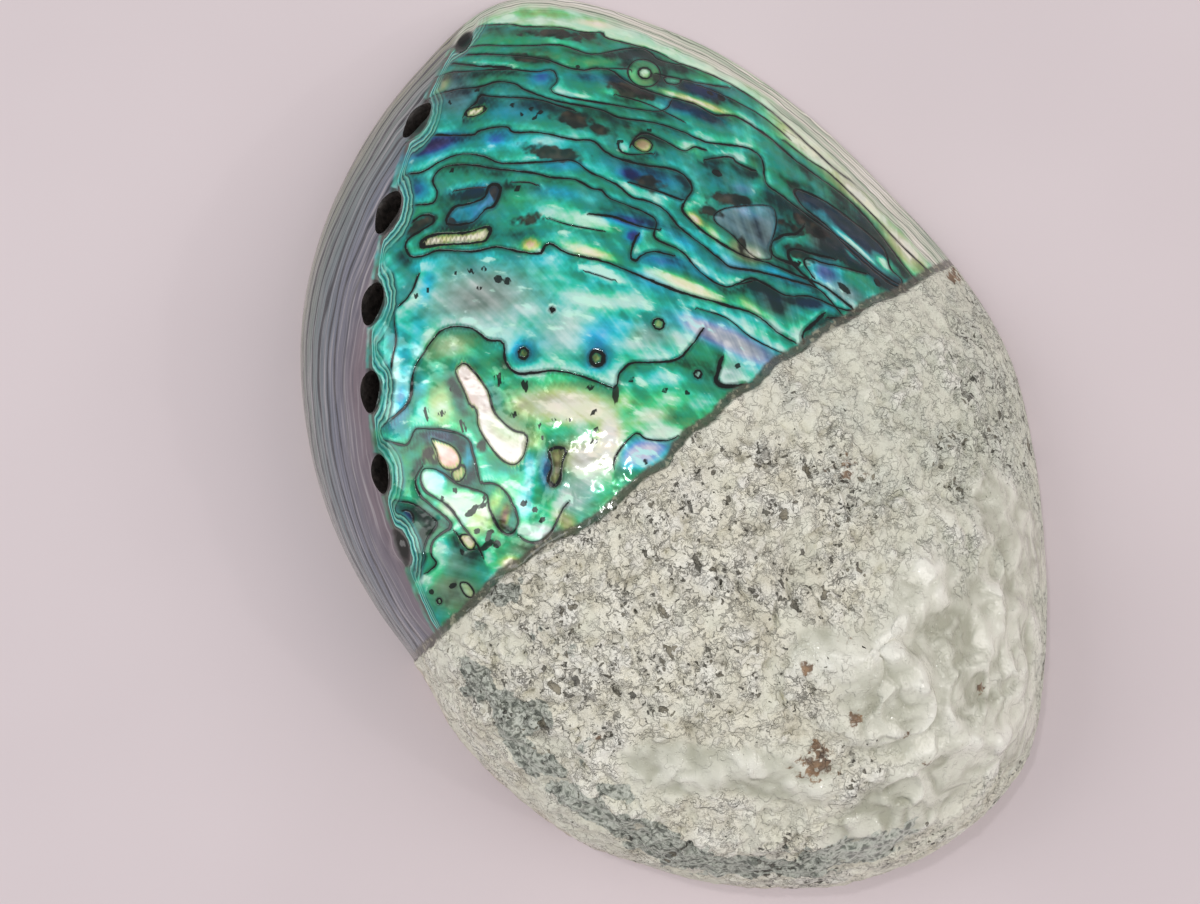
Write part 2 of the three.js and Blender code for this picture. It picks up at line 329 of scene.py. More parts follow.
# Shorter layers that end inside the nacre: half width and points.
SHORT_LAYERS = [
    (0.16, [(0, 69), (2.5, 68), (5.5, 66), (9, 64), (13, 62), (16.5, 58.5), (21, 57.5), (24, 56.5),
            (25, 55), (25.5, 53.5), (28, 51.5)]),
    (0.2, [(24, 51.3), (27, 49), (29, 47.5), (33, 45)]),
    (0.17, [(-6.5, 67.3), (-3.5, 66.3), (-1.5, 65), (4, 62), (7.5, 59.5), (9, 59), (10, 58.3), (9.6, 56.5),
            (8, 55.6), (9.5, 53.6), (13.5, 50.5), (19, 46.6), (21, 45.5), (22.5, 45.5), (23.5, 46.3)]),
    (0.3, [(-3, 68), (0, 65.2), (2, 63.8), (4.5, 62)]),
    (0.2, [(-5, 58.5), (-4, 59.2), (-2.5, 59.4), (-1.5, 60.2), (0, 59), (3, 57), (6, 54.7), (9.5, 51)]),
    (0.2, [(14.4, 42.3), (16, 43.2), (17.5, 43), (19.5, 40.5), (21, 38.2), (23, 38), (24, 37)]),
    (0.3, [(23.5, 35.5), (27, 34.5), (27.7, 33), (29.3, 31)]),
    (0.16, [(12.8, 43.2), (12.5, 42), (13.5, 41), (15, 40.3), (16.5, 39.8)]),
    (0.2, [(17, 31.3), (15.5, 33), (13.5, 35), (11.5, 37)]),
    (0.2, [(11.6, 28.9), (10, 30), (8, 32), (6.5, 33.6), (4, 35.3)]),
    (0.25, [(8.5, 29.5), (7.3, 28.5), (6.2, 27.2), (6.3, 26.2), (7.5, 26.5), (9.5, 26.2), (11.5, 24.5)]),
    (0.16, [(18, 16.5), (20, 16)]),
    (0.4, [(22.3, 5), (23, 6), (25, 6.5), (27, 7)]),
    (0.2, [(27.5, 6.2), (29.5, 5.2), (32, 4)]),
    (0.35, [(31.5, 20), (30, 19.4), (28, 20.1), (25.5, 19.6), (25, 18), (26, 16.6), (27.6, 15.2)]),
    (0.3, [(33, 13.7), (30.5, 15.7), (28.5, 17.4), (27.2, 17.5), (27, 15.6), (27.8, 12.7), (28.2, 11.2)]),
    (0.22, [(36.5, 9.5), (33.5, 12), (31, 14), (29.6, 15.4), (28.6, 15), (28.7, 12.6)]),
    (0.14, [(36.5, 33.5), (38.5, 29), (40.5, 25.5), (43, 17.5), (44.5, 11.5), (46.5, 5.5)]),
    (0.16, [(43.5, 28.5), (46, 23), (48, 17), (49.5, 11.5), (50, 8)]),
    (0.12, [(29, 47), (32, 43.5), (35.5, 38.5), (37.5, 33.5)]),
    (0.35, [(10.5, 8.3), (9.3, 7), (8.2, 5.8), (8.6, 4.8), (9.5, 4.2), (11.5, 3.5)]),
    (0.14, [(-10, 2), (-9, 3.2), (-6.5, 4.3), (-5, 4.5), (-4.3, 3.2), (-2, 1.7), (-0.5, 1.5)]),
    (0.12, [(11, 16), (14, 13), (15.7, 9), (18.5, 5)]),
    (0.2, [(-34, 14.5), (-35.7, 13.3), (-36, 11), (-35, 8.5), (-34, 6.2), (-34.2, 5), (-35.7, 5),
           (-37.5, 4.5), (-38.6, 3), (-38.5, 1.5), (-40.5, 1)]),
    (0.16, [(-33.9, 4.3), (-33.7, 2.5), (-33.4, 1.1), (-32.7, 0.9)]),
    (0.18, [(-39.5, 12), (-37.5, 10.5), (-36.2, 8), (-35.7, 6.4), (-37.5, 5.6), (-39.3, 4), (-39.5, 3),
            (-41.5, 1.5)]),
    (0.2, [(-26, -0.5), (-25.5, -1.5), (-24, -2.4), (-22, -2.1), (-20.5, -1), (-19, 0), (-18, 0.5)]),
    (0.17, [(-22, 39.5), (-23.5, 38), (-25.5, 37), (-27.5, 36.3), (-29, 32.5), (-31, 30), (-34, 25)]),
    (0.12, [(-11.5, 48.3), (-9, 47.3), (-7.5, 46.5)]),
    (0.12, [(-3.5, 45), (-1.5, 43.8), (-0.8, 42.9)]),
    (0.14, [(-1.5, 37.5), (0.5, 35.3), (4.3, 32.2)]),
    (0.1, [(-0.5, 28), (2.3, 25)]),
    (0.12, [(16.5, 50.5), (20, 47.3), (23.5, 42.5)]),
    (0.12, [(20.5, 53.8), (17, 55.5)]),
]

# Closed outlines where a layer rose or dipped: half width of the line, outline, and inside it the hue,
# paleness and share of grey.
ISLANDS = [
    (0.3, [(-19.7, 43.3), (-18.5, 44), (-16, 43.3), (-13, 41.7), (-9.6, 40.7), (-10.8, 39.2), (-12.5, 39.6),
           (-16, 41.4), (-19, 42.7)], 0.17, 0.8, 0.15),
    (0.2, [(-5, 58.4), (-4, 59), (-2, 58.4), (-1.5, 57.7), (-2.5, 57.4), (-4, 57.6)], 0.1, 0.95, 0.15),
    (0.3, [(-15, 44.5), (-13, 46), (-11.5, 45.7), (-9.5, 45.1), (-8, 45.2), (-7, 46.2), (-6, 46.1),
           (-5.5, 45), (-7.5, 43.2), (-9, 43.4), (-11, 42.6), (-12.7, 43)], 0.68, 0.3, 0.1),
    (0.18, [(24.5, 50.3), (25.5, 50.2), (27, 49), (26, 48.5), (24.6, 49.3)], 0.43, 0.6, 0.15),
    (0.16, [(-23.5, 24), (-23.6, 21), (-23.8, 19), (-23.2, 18), (-24, 16), (-24.1, 14), (-23.6, 11),
            (-23, 9.5), (-22, 8.6), (-20.5, 9), (-19, 10.5), (-18.7, 11.7), (-20, 13), (-21, 15.5),
            (-21, 17.5), (-20.6, 19.5), (-21, 22.5), (-21.6, 24.5), (-22.6, 24.7)], 0.0, 0.72, 0.6),
    (0.12, [(-31, 17.5), (-30, 16.7), (-28.6, 15), (-28.4, 13), (-29.5, 12), (-31, 12.6), (-31.5, 14),
            (-31, 15.5)], 0.01, 0.8, 0.15),
    (0.12, [(-30.4, 11.9), (-29.3, 11.9), (-28.5, 12.2), (-28.6, 10.9), (-30, 10.2), (-30.8, 10.8)],
            0.1, 0.85, 0.15),
    (0.3, [(-17, 8), (-15.6, 7.9), (-14.7, 7), (-15.6, 6.2), (-16.5, 5), (-17.6, 3.6), (-18.9, 3.6),
           (-18.7, 4.8), (-17.4, 6)], 0.13, 0.08, 0.15),
    (0.14, [(-33.8, 3.4), (-32.4, 3), (-32, 1.7), (-32.8, 0.9), (-33.6, 1.6)], 0.06, 0.65, 0.15),
    (0.12, [(-36.8, -2.5), (-35.8, -3), (-35.6, -4.5), (-36.4, -5), (-37, -4)], 0.04, 0.6, 0.15),
    (0.2, [(33.7, 25.7), (37, 22), (39.5, 17), (41, 13.5), (41.5, 11), (40.7, 8.5), (41.3, 6), (40, 5.5),
           (38.5, 8), (36, 14.5), (35, 18.5), (33.2, 23)], 0.58, -0.2, 0.1),
    (0.12, [(19.7, 26.5), (21, 27.5), (24, 27), (28.5, 25), (28.5, 23), (27, 21), (25, 19.3), (24.5, 17.7),
            (22.5, 18.7), (21.6, 21), (21, 23.5)], 0.68, 0.22, 0.7),
    (0.15, [(14.7, 42.3), (16.5, 42.7), (17.4, 41.2), (16.5, 40.3), (15.4, 40.6)], 0.06, 0.32, 0.15),
]

# Round spots where a boring was healed over: x, y, radius of the ring, half its drawn width, hue, paleness
# and share of grey.
HEALED_SPOTS = [
    (22.2, 52.3, 2.5, 0.13, 0.35, 0.45, 0.1), (22.3, 52.2, 1.0, 0.2, 0.33, 0.75, 0.1),
    (-13.7, 21.8, 0.75, 0.25, 0.2, 0.2, 0.1), (-5, 16.3, 0.95, 0.4, 0.2, 0.15, 0.1),
    (4.9, 16.6, 0.8, 0.2, 0.22, 0.35, 0.1), (-39.4, 9.2, 1.1, 0.3, 0.85, 0.12, 0.1),
    (6.4, 7.8, 0.55, 0.2, 0.5, 0.9, 0.1), (-40.8, -3.4, 0.4, 0.16, 0.3, 0.6, 0.1),
    (-7.3, 25.4, 0.4, 0.14, 0.5, 0.7, 0.1),
]

# Small dark borings: x, y, half length, half width, turn in degrees.
BORINGS = [
    (-29.8, 21.4, 0.4, 0.25, 20), (-27.9, 19.9, 0.45, 0.3, 0), (-26, 17.4, 0.3, 0.3, 0),
    (-26.1, 16.2, 0.3, 0.22, 0), (-30.1, 20.2, 0.22, 0.22, 0), (-25.1, 22.3, 0.22, 0.22, 0),
    (-18.3, 20.7, 0.45, 0.25, -10), (-18.6, 19.6, 0.35, 0.22, 0), (-15.5, 18.1, 0.35, 0.22, -30),
    (-15.8, 17.2, 0.25, 0.35, 0), (-18.8, 14.8, 0.4, 0.3, -20), (-31.2, 9.4, 0.25, 0.35, 0),
    (-33.4, 9.2, 0.22, 0.3, 0), (-27.9, 6.6, 0.22, 0.4, 20), (-28.7, 5.7, 0.35, 0.22, 0),
    (-29.7, 6, 0.22, 0.22, 0), (-30.7, 5.6, 0.6, 0.3, 0), (-31.1, 2.9, 0.3, 0.25, 0),
    (-29.5, 1.9, 0.4, 0.22, 0), (-30.2, 1.3, 0.25, 0.22, 0), (-30.8, 0.5, 0.75, 0.3, 10),
    (-29.4, 0, 0.4, 0.4, 0), (-23.3, 3.3, 0.4, 0.3, 0), (-22.4, 1.8, 0.3, 0.3, 0),
    (-22.2, 0.1, 0.3, 0.22, 0), (-14.3, 11.5, 0.22, 0.22, 0), (-12.5, 10.5, 0.22, 0.22, 0),
    (-16.4, 11.8, 0.22, 0.22, 0), (-16.9, 10.1, 0.22, 0.22, 0), (-37.9, -2.3, 0.35, 0.22, 0),
    (-41.2, -1.7, 0.25, 0.25, 0), (-34.4, 1.3, 0.22, 0.4, 0), (-7.8, 13.1, 0.4, 0.22, 0),
    (-8.9, 9.8, 0.4, 0.22, 0), (-9.8, 7.5, 0.35, 0.25, 0), (-10.8, 6.2, 0.4, 0.22, 0),
    (-5.9, 0.5, 0.3, 0.25, 0), (1.2, 7.9, 0.3, 0.22, 0), (3.8, 6.2, 0.25, 0.22, 0),
    (-2.2, 11.4, 0.3, 0.22, 0), (12, 6.2, 0.3, 0.22, 0), (-12, 33.1, 0.5, 0.42, -42),
    (-11, 32.2, 0.45, 0.4, -42), (-14.9, 36.1, 0.4, 0.22, -50), (-13.1, 35.5, 0.3, 0.22, -50),
    (-15, 33.3, 0.3, 0.22, 0), (-16.9, 36.9, 0.22, 0.22, 0), (1.9, 56.1, 0.3, 0.22, 0),
    (4.1, 54.1, 0.3, 0.22, 0), (5, 53, 0.3, 0.22, 0), (2.4, 54.1, 0.22, 0.22, 0),
    (3.8, 52.6, 0.25, 0.22, 0), (-3.4, 43.8, 0.4, 0.3, 0), (-10.5, 51.4, 0.3, 0.22, 0),
    (29.9, 45.1, 0.35, 0.22, -40), (31.1, 43.8, 0.5, 0.3, -70), (23.9, 32.9, 0.6, 0.35, -55),
    (13.2, 43.4, 0.4, 0.22, 0), (18.1, 43.3, 0.25, 0.22, 0), (13.5, 57.4, 0.25, 0.22, 0),
    (-4.8, 63.2, 0.25, 0.22, 0), (-6, 61.6, 0.25, 0.22, 0), (-1.4, 61.2, 0.35, 0.22, 0),
    (-23.6, 36.9, 0.3, 0.3, 0), (-21.7, 36.8, 0.22, 0.22, 0), (32.1, 9, 0.85, 0.3, -70),
    (37.4, 7.5, 0.35, 0.6, 0),
]

# Places where the surface lies along a dark layer: x, y, half length, half width, turn in degrees.
UMBER_CLOUDS = [
    (13.7, 63.9, 4.8, 0.8, -31), (7.6, 62.2, 2.7, 0.6, -36), (8.6, 49.6, 2.4, 1.1, -43),
    (11.4, 46.8, 1.9, 0.9, -63), (3.6, 46.2, 4.3, 1.1, -36), (18.9, 50.2, 3.0, 1.2, -43),
    (13.9, 35.6, 2.1, 0.9, -50), (23.9, 28.2, 2.9, 0.9, -33), (19.9, 28, 1.4, 0.6, -48),
    (32.8, 19.5, 2.6, 1.4, -63), (21.8, 21.5, 0.6, 1.2, -28), (-6.6, 44.9, 0.7, 1.5, -8),
    (-4.4, 39, 1.7, 0.6, -20), (28.8, 16.4, 1.8, 0.9, -68), (-5.2, 10.4, 0.4, 1.5, -28),
    (30, 20.7, 1.8, 0.7, -58), (-24.9, 13, 0.8, 0.7, -73), (-32.3, 16, 1.2, 0.5, -20),
    (-18.5, 46.2, 2.0, 0.7, 5), (-14.2, 44.2, 0.5, 0.7, 0),
]

# Hue and paleness of each band between two growth layers, from the front lip backwards.
# Hue runs 0 rose, 0.2 yellow-green, 0.4 green, 0.5 teal, 0.65 cyan, 0.8 blue, 1 violet.
BAND_TINTS = [
    (0.36, 0.72), (0.45, 0.44), (0.46, 0.44), (0.48, 0.45), (0.52, 0.55), (0.49, 0.52), (0.47, 0.58),
    (0.51, 0.74), (0.41, 0.6), (0.44, 0.54),
]

# Soft patches of another tint: x, y, half length, half width, turn, hue, paleness, share of grey.
TINT_CLOUDS = [
    # towards the front lip
    (12.5, 67.7, 6.8, 0.9, -28, 0.36, 0.8, 0.4), (20.5, 63, 3.4, 0.6, -33, 0.08, 0.95, 0.4),
    (25.5, 59.3, 6.1, 1.6, -43, 0.36, 0.82, 0.4), (33.5, 49, 5.5, 1.9, -53, 0.3, 0.9, 0.5),
    (38, 37.5, 3.5, 1.0, -66, 0.36, 0.8, 0.2), (39, 32, 6.5, 1.8, -68, 0.2, 0.92, 0.5),
    (43, 21, 7.0, 2.0, -70, 0.15, 0.97, 0.6), (45, 10, 5.5, 2.0, -76, 0.12, 0.95, 0.6),
    (36.5, 21, 3.4, 0.8, -68, 0.42, 0.85, 0.1), (-4.8, 62.8, 3.3, 4.0, 32, 0.6, 0.36, 0.5),
    (-5.6, 65.3, 1.8, 1.0, 32, 0.12, 0.5, 0.5), (7.8, 58.2, 1.9, 1.2, -28, 0.75, 0.5, 0),
    (17, 56.8, 3.0, 0.9, -28, 0.36, 0.75, 0), (17.4, 53, 2.1, 0.9, -28, 0.6, 0.2, 0),
    (14.3, 54.9, 3.2, 0.7, -28, 0.6, 0.25, 0), (16, 51.5, 2.4, 0.9, -28, 0.44, 0.65, 0),
    (2, 55, 4.7, 1.4, -33, 0.6, 0.4, 0), (27.3, 44.3, 5.8, 0.6, -45, 0.1, 1.05, 0.3),
    (25.3, 43.6, 4.4, 1.3, -46, 0.7, 0.25, 0), (29, 45.9, 3.3, 1.1, -40, 0.74, 0.28, 0),
    (24.3, 42, 4.4, 1.0, -48, 0.5, 0.4, 0), (33.4, 36.6, 5.4, 1.2, -66, 0.47, 0.75, 0),
    # the violet and blue bands
    (-11.5, 56.6, 4.5, 1.3, -13, 0.97, 0.2, 0.1), (-2.3, 52.5, 2.0, 1.0, -23, 0.83, 0.45, 0),
    (3.6, 48.6, 5.5, 0.8, -33, 0.55, 0.9, 0), (4.3, 43.6, 3.1, 0.9, -33, 0.68, 0.66, 0),
    (-16.6, 51.5, 2.0, 1.6, -28, 0.7, 0.12, 0), (-11.5, 47.6, 2.0, 1.4, -28, 0.5, 0.42, 0),
    (-8, 46.9, 1.4, 0.7, -18, 0.62, 0.7, 0), (-4.9, 42.8, 2.8, 1.4, -28, 0.42, 0.75, 0),
    (1.6, 40.2, 3.1, 0.8, -36, 0.65, 0.62, 0), (3.6, 34.6, 3.1, 1.4, -48, 0.44, 0.85, 0),
    (-6.4, 37.2, 4.5, 1.2, -28, 0.52, 0.35, 0), (-5.6, 35.3, 1.2, 0.9, -28, 0.02, 0.75, 0),
    (1.2, 30.3, 3.3, 0.7, -43, 0.15, 0.95, 0), (11.3, 19.6, 5.0, 0.8, -50, 0.12, 1.0, 0),
    (18.3, 12.5, 2.8, 0.7, -58, 0.3, 0.85, 0), (10, 24.3, 3.9, 1.0, -36, 0.72, 0.6, 0),
    (13.8, 20.2, 3.1, 0.9, -58, 0.6, 0.6, 0), (14, 25.5, 3.7, 0.9, -63, 0.64, 0.6, 0),
    (15.2, 36.3, 4.0, 1.2, -43, 0.71, 0.5, 0), (12.1, 38.2, 1.7, 0.9, -43, 0.85, 0.3, 0),
    (8.4, 31.9, 3.7, 0.9, -36, 0.82, 0.5, 0), (7.9, 29.6, 1.2, 1.0, -28, 0.9, 0.45, 0),
    # the dark folds on the right
    (21.1, 11.9, 3.4, 2.0, -53, 0.52, 0.14, 0.3), (24, 15.3, 3.4, 0.7, -53, 0.66, 0.7, 0),
    (19.6, 18.8, 3.0, 0.9, -38, 0.66, 0.45, 0.3), (26.6, 2.8, 3.1, 1.4, 2, 0.55, 0.36, 0),
    (25.7, 23.9, 2.6, 1.8, -38, 0.74, 0.4, 0.3), (22, 20.5, 2.4, 1.6, -38, 0.14, 0.55, 0.75),
    (22.6, 25.7, 2.4, 1.0, -20, 0.55, 0.55, 0.6), (36.4, 14.8, 7.0, 2.0, -68, 0.6, 0.03, 0),
    (34.8, 22.7, 2.4, 1.3, -63, 0.42, 0.1, 0), (40.2, 12, 1.2, 1.0, -68, 0.42, 0.85, 0),
    (36.2, 12.3, 4.6, 0.4, -70, 0.53, 1.0, 0), (37.4, 9.5, 2.6, 0.8, -68, 0.52, 0.3, 0),
    (33.8, 16.7, 3.0, 2.0, -58, 0.52, 0.16, 0.7), (30.9, 12.1, 2.4, 1.6, -68, 0.84, 0.08, 0.3),
    (32, 8.2, 2.9, 1.4, -53, 0.6, 0.42, 0.8), (28.4, 7.3, 1.1, 0.6, -48, 0.53, 1.0, 0),
    (26.2, 9.2, 2.2, 0.9, -38, 0.68, 0.16, 0.2), (28.3, 34.3, 2.7, 1.9, -38, 0.5, 0.85, 0),
    (30, 32.4, 1.2, 2.2, -48, 0.42, 0.36, 0), (28.7, 28.8, 1.0, 2.2, -68, 0.47, 0.9, 0),
    (23.9, 32.3, 4.2, 1.9, -33, 0.53, 0.36, 0.1), (26.1, 29, 1.7, 0.9, -38, 0.66, 0.3, 0.3),
    (18.8, 29.9, 1.7, 1.1, -28, 0.45, 0.6, 0), (17.3, 27.9, 1.3, 0.6, -68, 0.05, 0.85, 0.2),
    (18.5, 25, 0.8, 1.8, 2, 0.33, 0.75, 0), (22.5, 38, 2.2, 1.0, -50, 0.4, 0.75, 0),
    # the silver middle, partly painted sheen of the buffed dome
    (-15.3, 31.8, 8.4, 4.2, -28, 0.52, 0.66, 0.95), (-7.8, 21.9, 4.1, 3.4, -28, 0.52, 0.95, 0.55),
    (1.6, 16.3, 6.5, 1.7, -28, 0.47, 0.8, 0.6), (11, 12, 4.8, 1.3, -53, 0.97, 0.95, 0.8),
    (14, 8.4, 5.5, 1.6, -56, 0.95, 0.95, 0.85), (-21.2, 40.7, 2.6, 0.9, -28, 0.6, 0.95, 0),
    (-12, 36.9, 2.6, 0.9, -28, 0.57, 1.0, 0), (-4.1, 32.5, 2.6, 1.2, -28, 0.57, 1.0, 0),
    (1.4, 26.6, 3.4, 1.2, -40, 0.54, 1.05, 0), (7.2, 22.2, 3.1, 1.0, -53, 0.64, 0.9, 0),
    (-0.6, 23.3, 6.5, 1.3, -33, 0.5, 1.1, 0.1), (-3.1, 18.9, 3.3, 2.2, -13, 0.7, 0.72, 0),
    (-0.3, 18.2, 1.6, 1.9, -28, 0.63, 0.85, 0), (-5, 16.3, 1.5, 1.4, 0, 0.78, 0.4, 0),
    (-13.7, 22, 1.9, 1.5, -28, 0.7, 0.6, 0), (-21.6, 37.3, 1.1, 2.6, -43, 0.64, 0.65, 0),
    (-28.8, 31, 1.4, 4.4, -18, 0.6, 0.5, 0), (-32.2, 24.6, 1.1, 2.3, -28, 0.7, 0.6, 0),
    (-26, 31.5, 1.2, 3.0, -28, 0.63, 0.75, 0), (-23, 42.5, 1.5, 2.2, 0, 0.5, 0.36, 0.1),
    # the green folds behind it
    (-11.9, 17, 6.0, 0.7, -31, 0.43, 0.9, 0), (1.2, 9.8, 4.9, 1.6, -28, 0.53, 0.9, 0),
    (0.7, 6.6, 2.2, 1.1, -28, 0.42, 0.95, 0), (-0.2, 4.7, 3.0, 0.6, -28, 0.5, 0.3, 0),
    (-12.4, 12.9, 6.3, 2.2, -28, 0.1, 0.98, 0.6), (-4.5, 9.5, 1.2, 1.4, -28, 0.33, 0.95, 0),
    (4.6, 4.2, 2.2, 1.0, -18, 0.5, 0.8, 0.2), (10.8, 5.8, 1.6, 2.0, -28, 0.5, 0.7, 0.6),
    (-5.3, 1.9, 3.8, 1.8, -8, 1.0, 1.15, 0.45), (-8.8, 5.6, 1.6, 3.6, -28, 0.1, 1.05, 0.8),
    (-14, 3.5, 2.0, 5.5, -28, 0.55, 0.98, 0.75), (-20.6, 6.9, 0.8, 4.1, -28, 0.6, 0.9, 0),
    (-18.4, 5.6, 1.0, 2.2, -28, 0.77, 0.4, 0), (-24.2, 8.9, 2.6, 1.8, -28, 0.48, 0.6, 0),
    (-18.2, 10.4, 1.6, 1.4, 2, 0.25, 0.9, 0), (-19.2, 21.2, 1.9, 1.9, -28, 0.42, 0.85, 0),
    (-34.3, 20.4, 1.9, 1.4, -28, 0.52, 0.42, 0), (-33.8, 22.3, 2.6, 0.7, 12, 0.66, 0.4, 0.3),
    (-29.3, 23.6, 1.2, 3.2, -28, 0.58, 0.85, 0), (-27.5, 20.9, 2.2, 2.2, -28, 0.28, 0.88, 0.5),
    (-24.8, 21, 1.0, 3.2, -8, 0.45, 0.3, 0.2), (-22.6, 28, 3.3, 1.8, -28, 0.3, 0.85, 0.5),
    (-29.7, 17, 1.9, 0.8, -28, 0.9, 0.5, 0.7), (-27.4, 12.5, 0.8, 2.2, -38, 0.63, 0.85, 0),
    (-31.7, 15.5, 1.6, 1.2, -28, 0.13, 0.2, 0), (-31.6, 15.3, 0.4, 0.3, 0, 0.2, 1.0, 0.5),
    (-32.6, 11.7, 1.1, 1.7, -48, 0.6, 0.95, 0), (-30.9, 7.7, 2.0, 1.3, -58, 0.36, 0.85, 0.3),
    (-30, 4.3, 2.0, 2.3, -68, 0.24, 0.78, 0.2), (-34, 7.1, 1.0, 1.3, -78, 0.55, 0.7, 0),
    (-33.2, 4.8, 0.5, 1.9, -78, 0.45, 1.0, 0), (-36.5, 3.3, 1.1, 1.4, -28, 0.57, 0.95, 0),
    (-35.9, 0.1, 1.9, 1.9, -28, 0.52, 0.5, 0.1), (-38, -3.3, 2.6, 2.0, -28, 0.3, 0.45, 0.5),
    (-26.7, 5.4, 1.0, 1.9, -58, 0.28, 0.9, 0), (-26.6, 2.9, 0.6, 1.7, -43, 0.02, 0.42, 0),
    (-36.4, -4, 0.6, 0.8, -8, 0.03, 0.5, 0), (-28.9, -3.3, 1.4, 1.0, -28, 0.12, 1.05, 0),
    (-26, -2.6, 2.4, 1.0, -28, 0.36, 0.55, 0.5), (-23.3, -1.1, 2.6, 1.1, -28, 0.5, 0.92, 0.9),
    (-19.3, -1.3, 1.2, 2.0, 2, 0.08, 0.85, 0.3), (-36.5, 13.1, 0.9, 2.3, -28, 0.4, 0.7, 0),
    (-37, 7.8, 1.2, 1.6, -28, 0.42, 0.5, 0.7), (-20.3, 17.5, 1.0, 3.2, -8, 0.46, 0.6, 0.2),
    (-23.4, 3, 1.1, 1.9, -28, 0.62, 0.9, 0), (-16, 14.8, 2.6, 1.6, -28, 0.2, 0.8, 0.6),
    (-13, 5, 3.4, 2.6, -28, 0.1, 1.02, 0.75), (-17.2, 1.2, 2.0, 2.6, -28, 0.5, 0.95, 0.8),
    (-10, 10.5, 3.4, 1.6, -28, 0.16, 0.98, 0.3), (-2, 5.5, 3.0, 1.0, -20, 0.3, 0.95, 0.4),
]

# Patches laid over the islands as well, in the same terms.
LATE_CLOUDS = [
    (37.5, 13.5, 4.6, 0.5, -70, 0.5, 1.0, 0), (40.3, 9.5, 2.2, 0.8, -68, 0.42, 0.95, 0),
    (22, 19.8, 2.2, 1.3, -38, 0.12, 0.5, 0.8), (35.5, 20.5, 2.0, 0.8, -66, 0.6, 0.0, 0),
    (25.6, 25.2, 2.4, 1.0, -20, 0.66, 0.35, 0.4), (-2.2, 3, 2.4, 1.3, -28, 0.4, 1.0, 0.6),
    (-12.6, 43.9, 1.7, 1.1, -28, 0.58, 0.25, 0), (-9, 46.6, 1.5, 0.8, -28, 0.6, 0.15, 0),
    (-20.5, 13, 3.4, 1.8, -60, 0.25, 0.8, 0.6), (-38, -3.3, 3.4, 2.4, -28, 0.3, 0.5, 0.6),
    (-35.6, 0.4, 2.2, 2.0, -28, 0.42, 0.5, 0.4), (-33.4, 7.4, 1.6, 1.2, -60, 0.3, 0.9, 0.6),
]

# The crust's front edge, from the holes' side to the right.
CRUST_EDGE = [
    (-60, -13), (-52, -10.8), (-44.5, -8.6), (-40, -7.3), (-36, -6.3), (-31, -4.6), (-27, -4.2),
    (-22, -3.4), (-19, -3.9), (-14, -3.6), (-11, -2.8), (-6, -1.6), (-3, -1.4), (1, 0.6), (5, 0.8),
    (9, 2.2), (13, 2.2), (17, 3.6), (21, 3.6), (26, 4.4), (30, 4.2), (35, 4.8), (40, 4.1), (47, 4.6),
    (60, 3.6),
]


def below_holes(x, y):
    """Signed distance across the line of holes, positive on the steep wall outside them."""
    radius, angle = polar(x, y, SPIRE)
    along = angle % (2 * math.pi)
    across = (radius - spiral_radius(along)) * SPIRAL_PITCH
    by_holes = (along > WALL_SWEEP[0]) & (along < WALL_SWEEP[1])
    return np.where(by_holes, np.clip(across, -NEAR_HOLES, NEAR_HOLES), -NEAR_HOLES)


def nearest_hole(x, y):
    """Distance in plan from the nearest hole's rim, across the hole in mm and shortened along it."""
    best = np.full(np.shape(x), FAR)
    for index in range(-1, OPEN_HOLES + 1):
        cx, cy, heading, size = hole_place(index)
        along = (x - cx) * math.cos(heading) + (y - cy) * math.sin(heading)
        across = -(x - cx) * math.sin(heading) + (y - cy) * math.cos(heading)
        half_width = HOLE["width"] * size / 2
        shape = np.hypot(along * HOLE["width"] / HOLE["length"], across)
        best = np.minimum(best, shape - half_width)
    return best


def hole_place(index):
    """Where a hole is, the way the ridge runs there, and the hole's size as a share of the largest."""
    angle = SPIRAL_START["angle"] + index * HOLE_STEP
    r = spiral_radius(angle)
    x = SPIRE[0] + r * math.cos(angle)
    y = SPIRE[1] + r * math.sin(angle)
    return x, y, angle - math.atan(1 / SPIRAL_RATE), HOLE["shrink"] ** abs(index - 1)


GROWN_LENGTH = 112


def growth_depth(x, y):
    """How far back from the lip a point was laid down by the spiral growth, in mm along the shell."""
    sides = np.linspace(-math.pi, math.pi, 721)
    lip_x = CROWN[0] + lip_radius(sides) * np.cos(sides)
    lip_y = CROWN[1] + lip_radius(sides) * np.sin(sides)
    reach, seen = polar(lip_x, lip_y, SPIRE)
    order = np.argsort(seen)
    radius, angle = polar(x, y, SPIRE)
    share = np.full(np.shape(x), 0.8)
    for _ in range(12):
        turned = angle + np.log(share) / SPIRAL_RATE
        lip = np.interp(turned, seen[order], reach[order], period=2 * math.pi)
        share = 0.5 * share + 0.5 * np.clip(radius / lip, 0.02, 1.05)
    return (1 - share) * GROWN_LENGTH


def cloud(x, y, cx, cy, half_length, half_width, turn):
    """Distance from a turned oval's centre, 1 on its outline."""
    c, s = math.cos(turn * DEGREE), math.sin(turn * DEGREE)
    along = (x - cx) * c + (y - cy) * s
    across = -(x - cx) * s + (y - cy) * c
    return np.hypot(along / half_length, across / half_width)


def crust_side(x, y):
    """Signed distance to the crust's front edge, positive on the crust."""
    line = curved(CRUST_EDGE)
    behind = y < np.interp(x, line[:, 0], line[:, 1])
    return np.where(behind, 1, -1) * distance_to(line, x, y)


# ---------------------------------------------------------------- relief of the lime crust

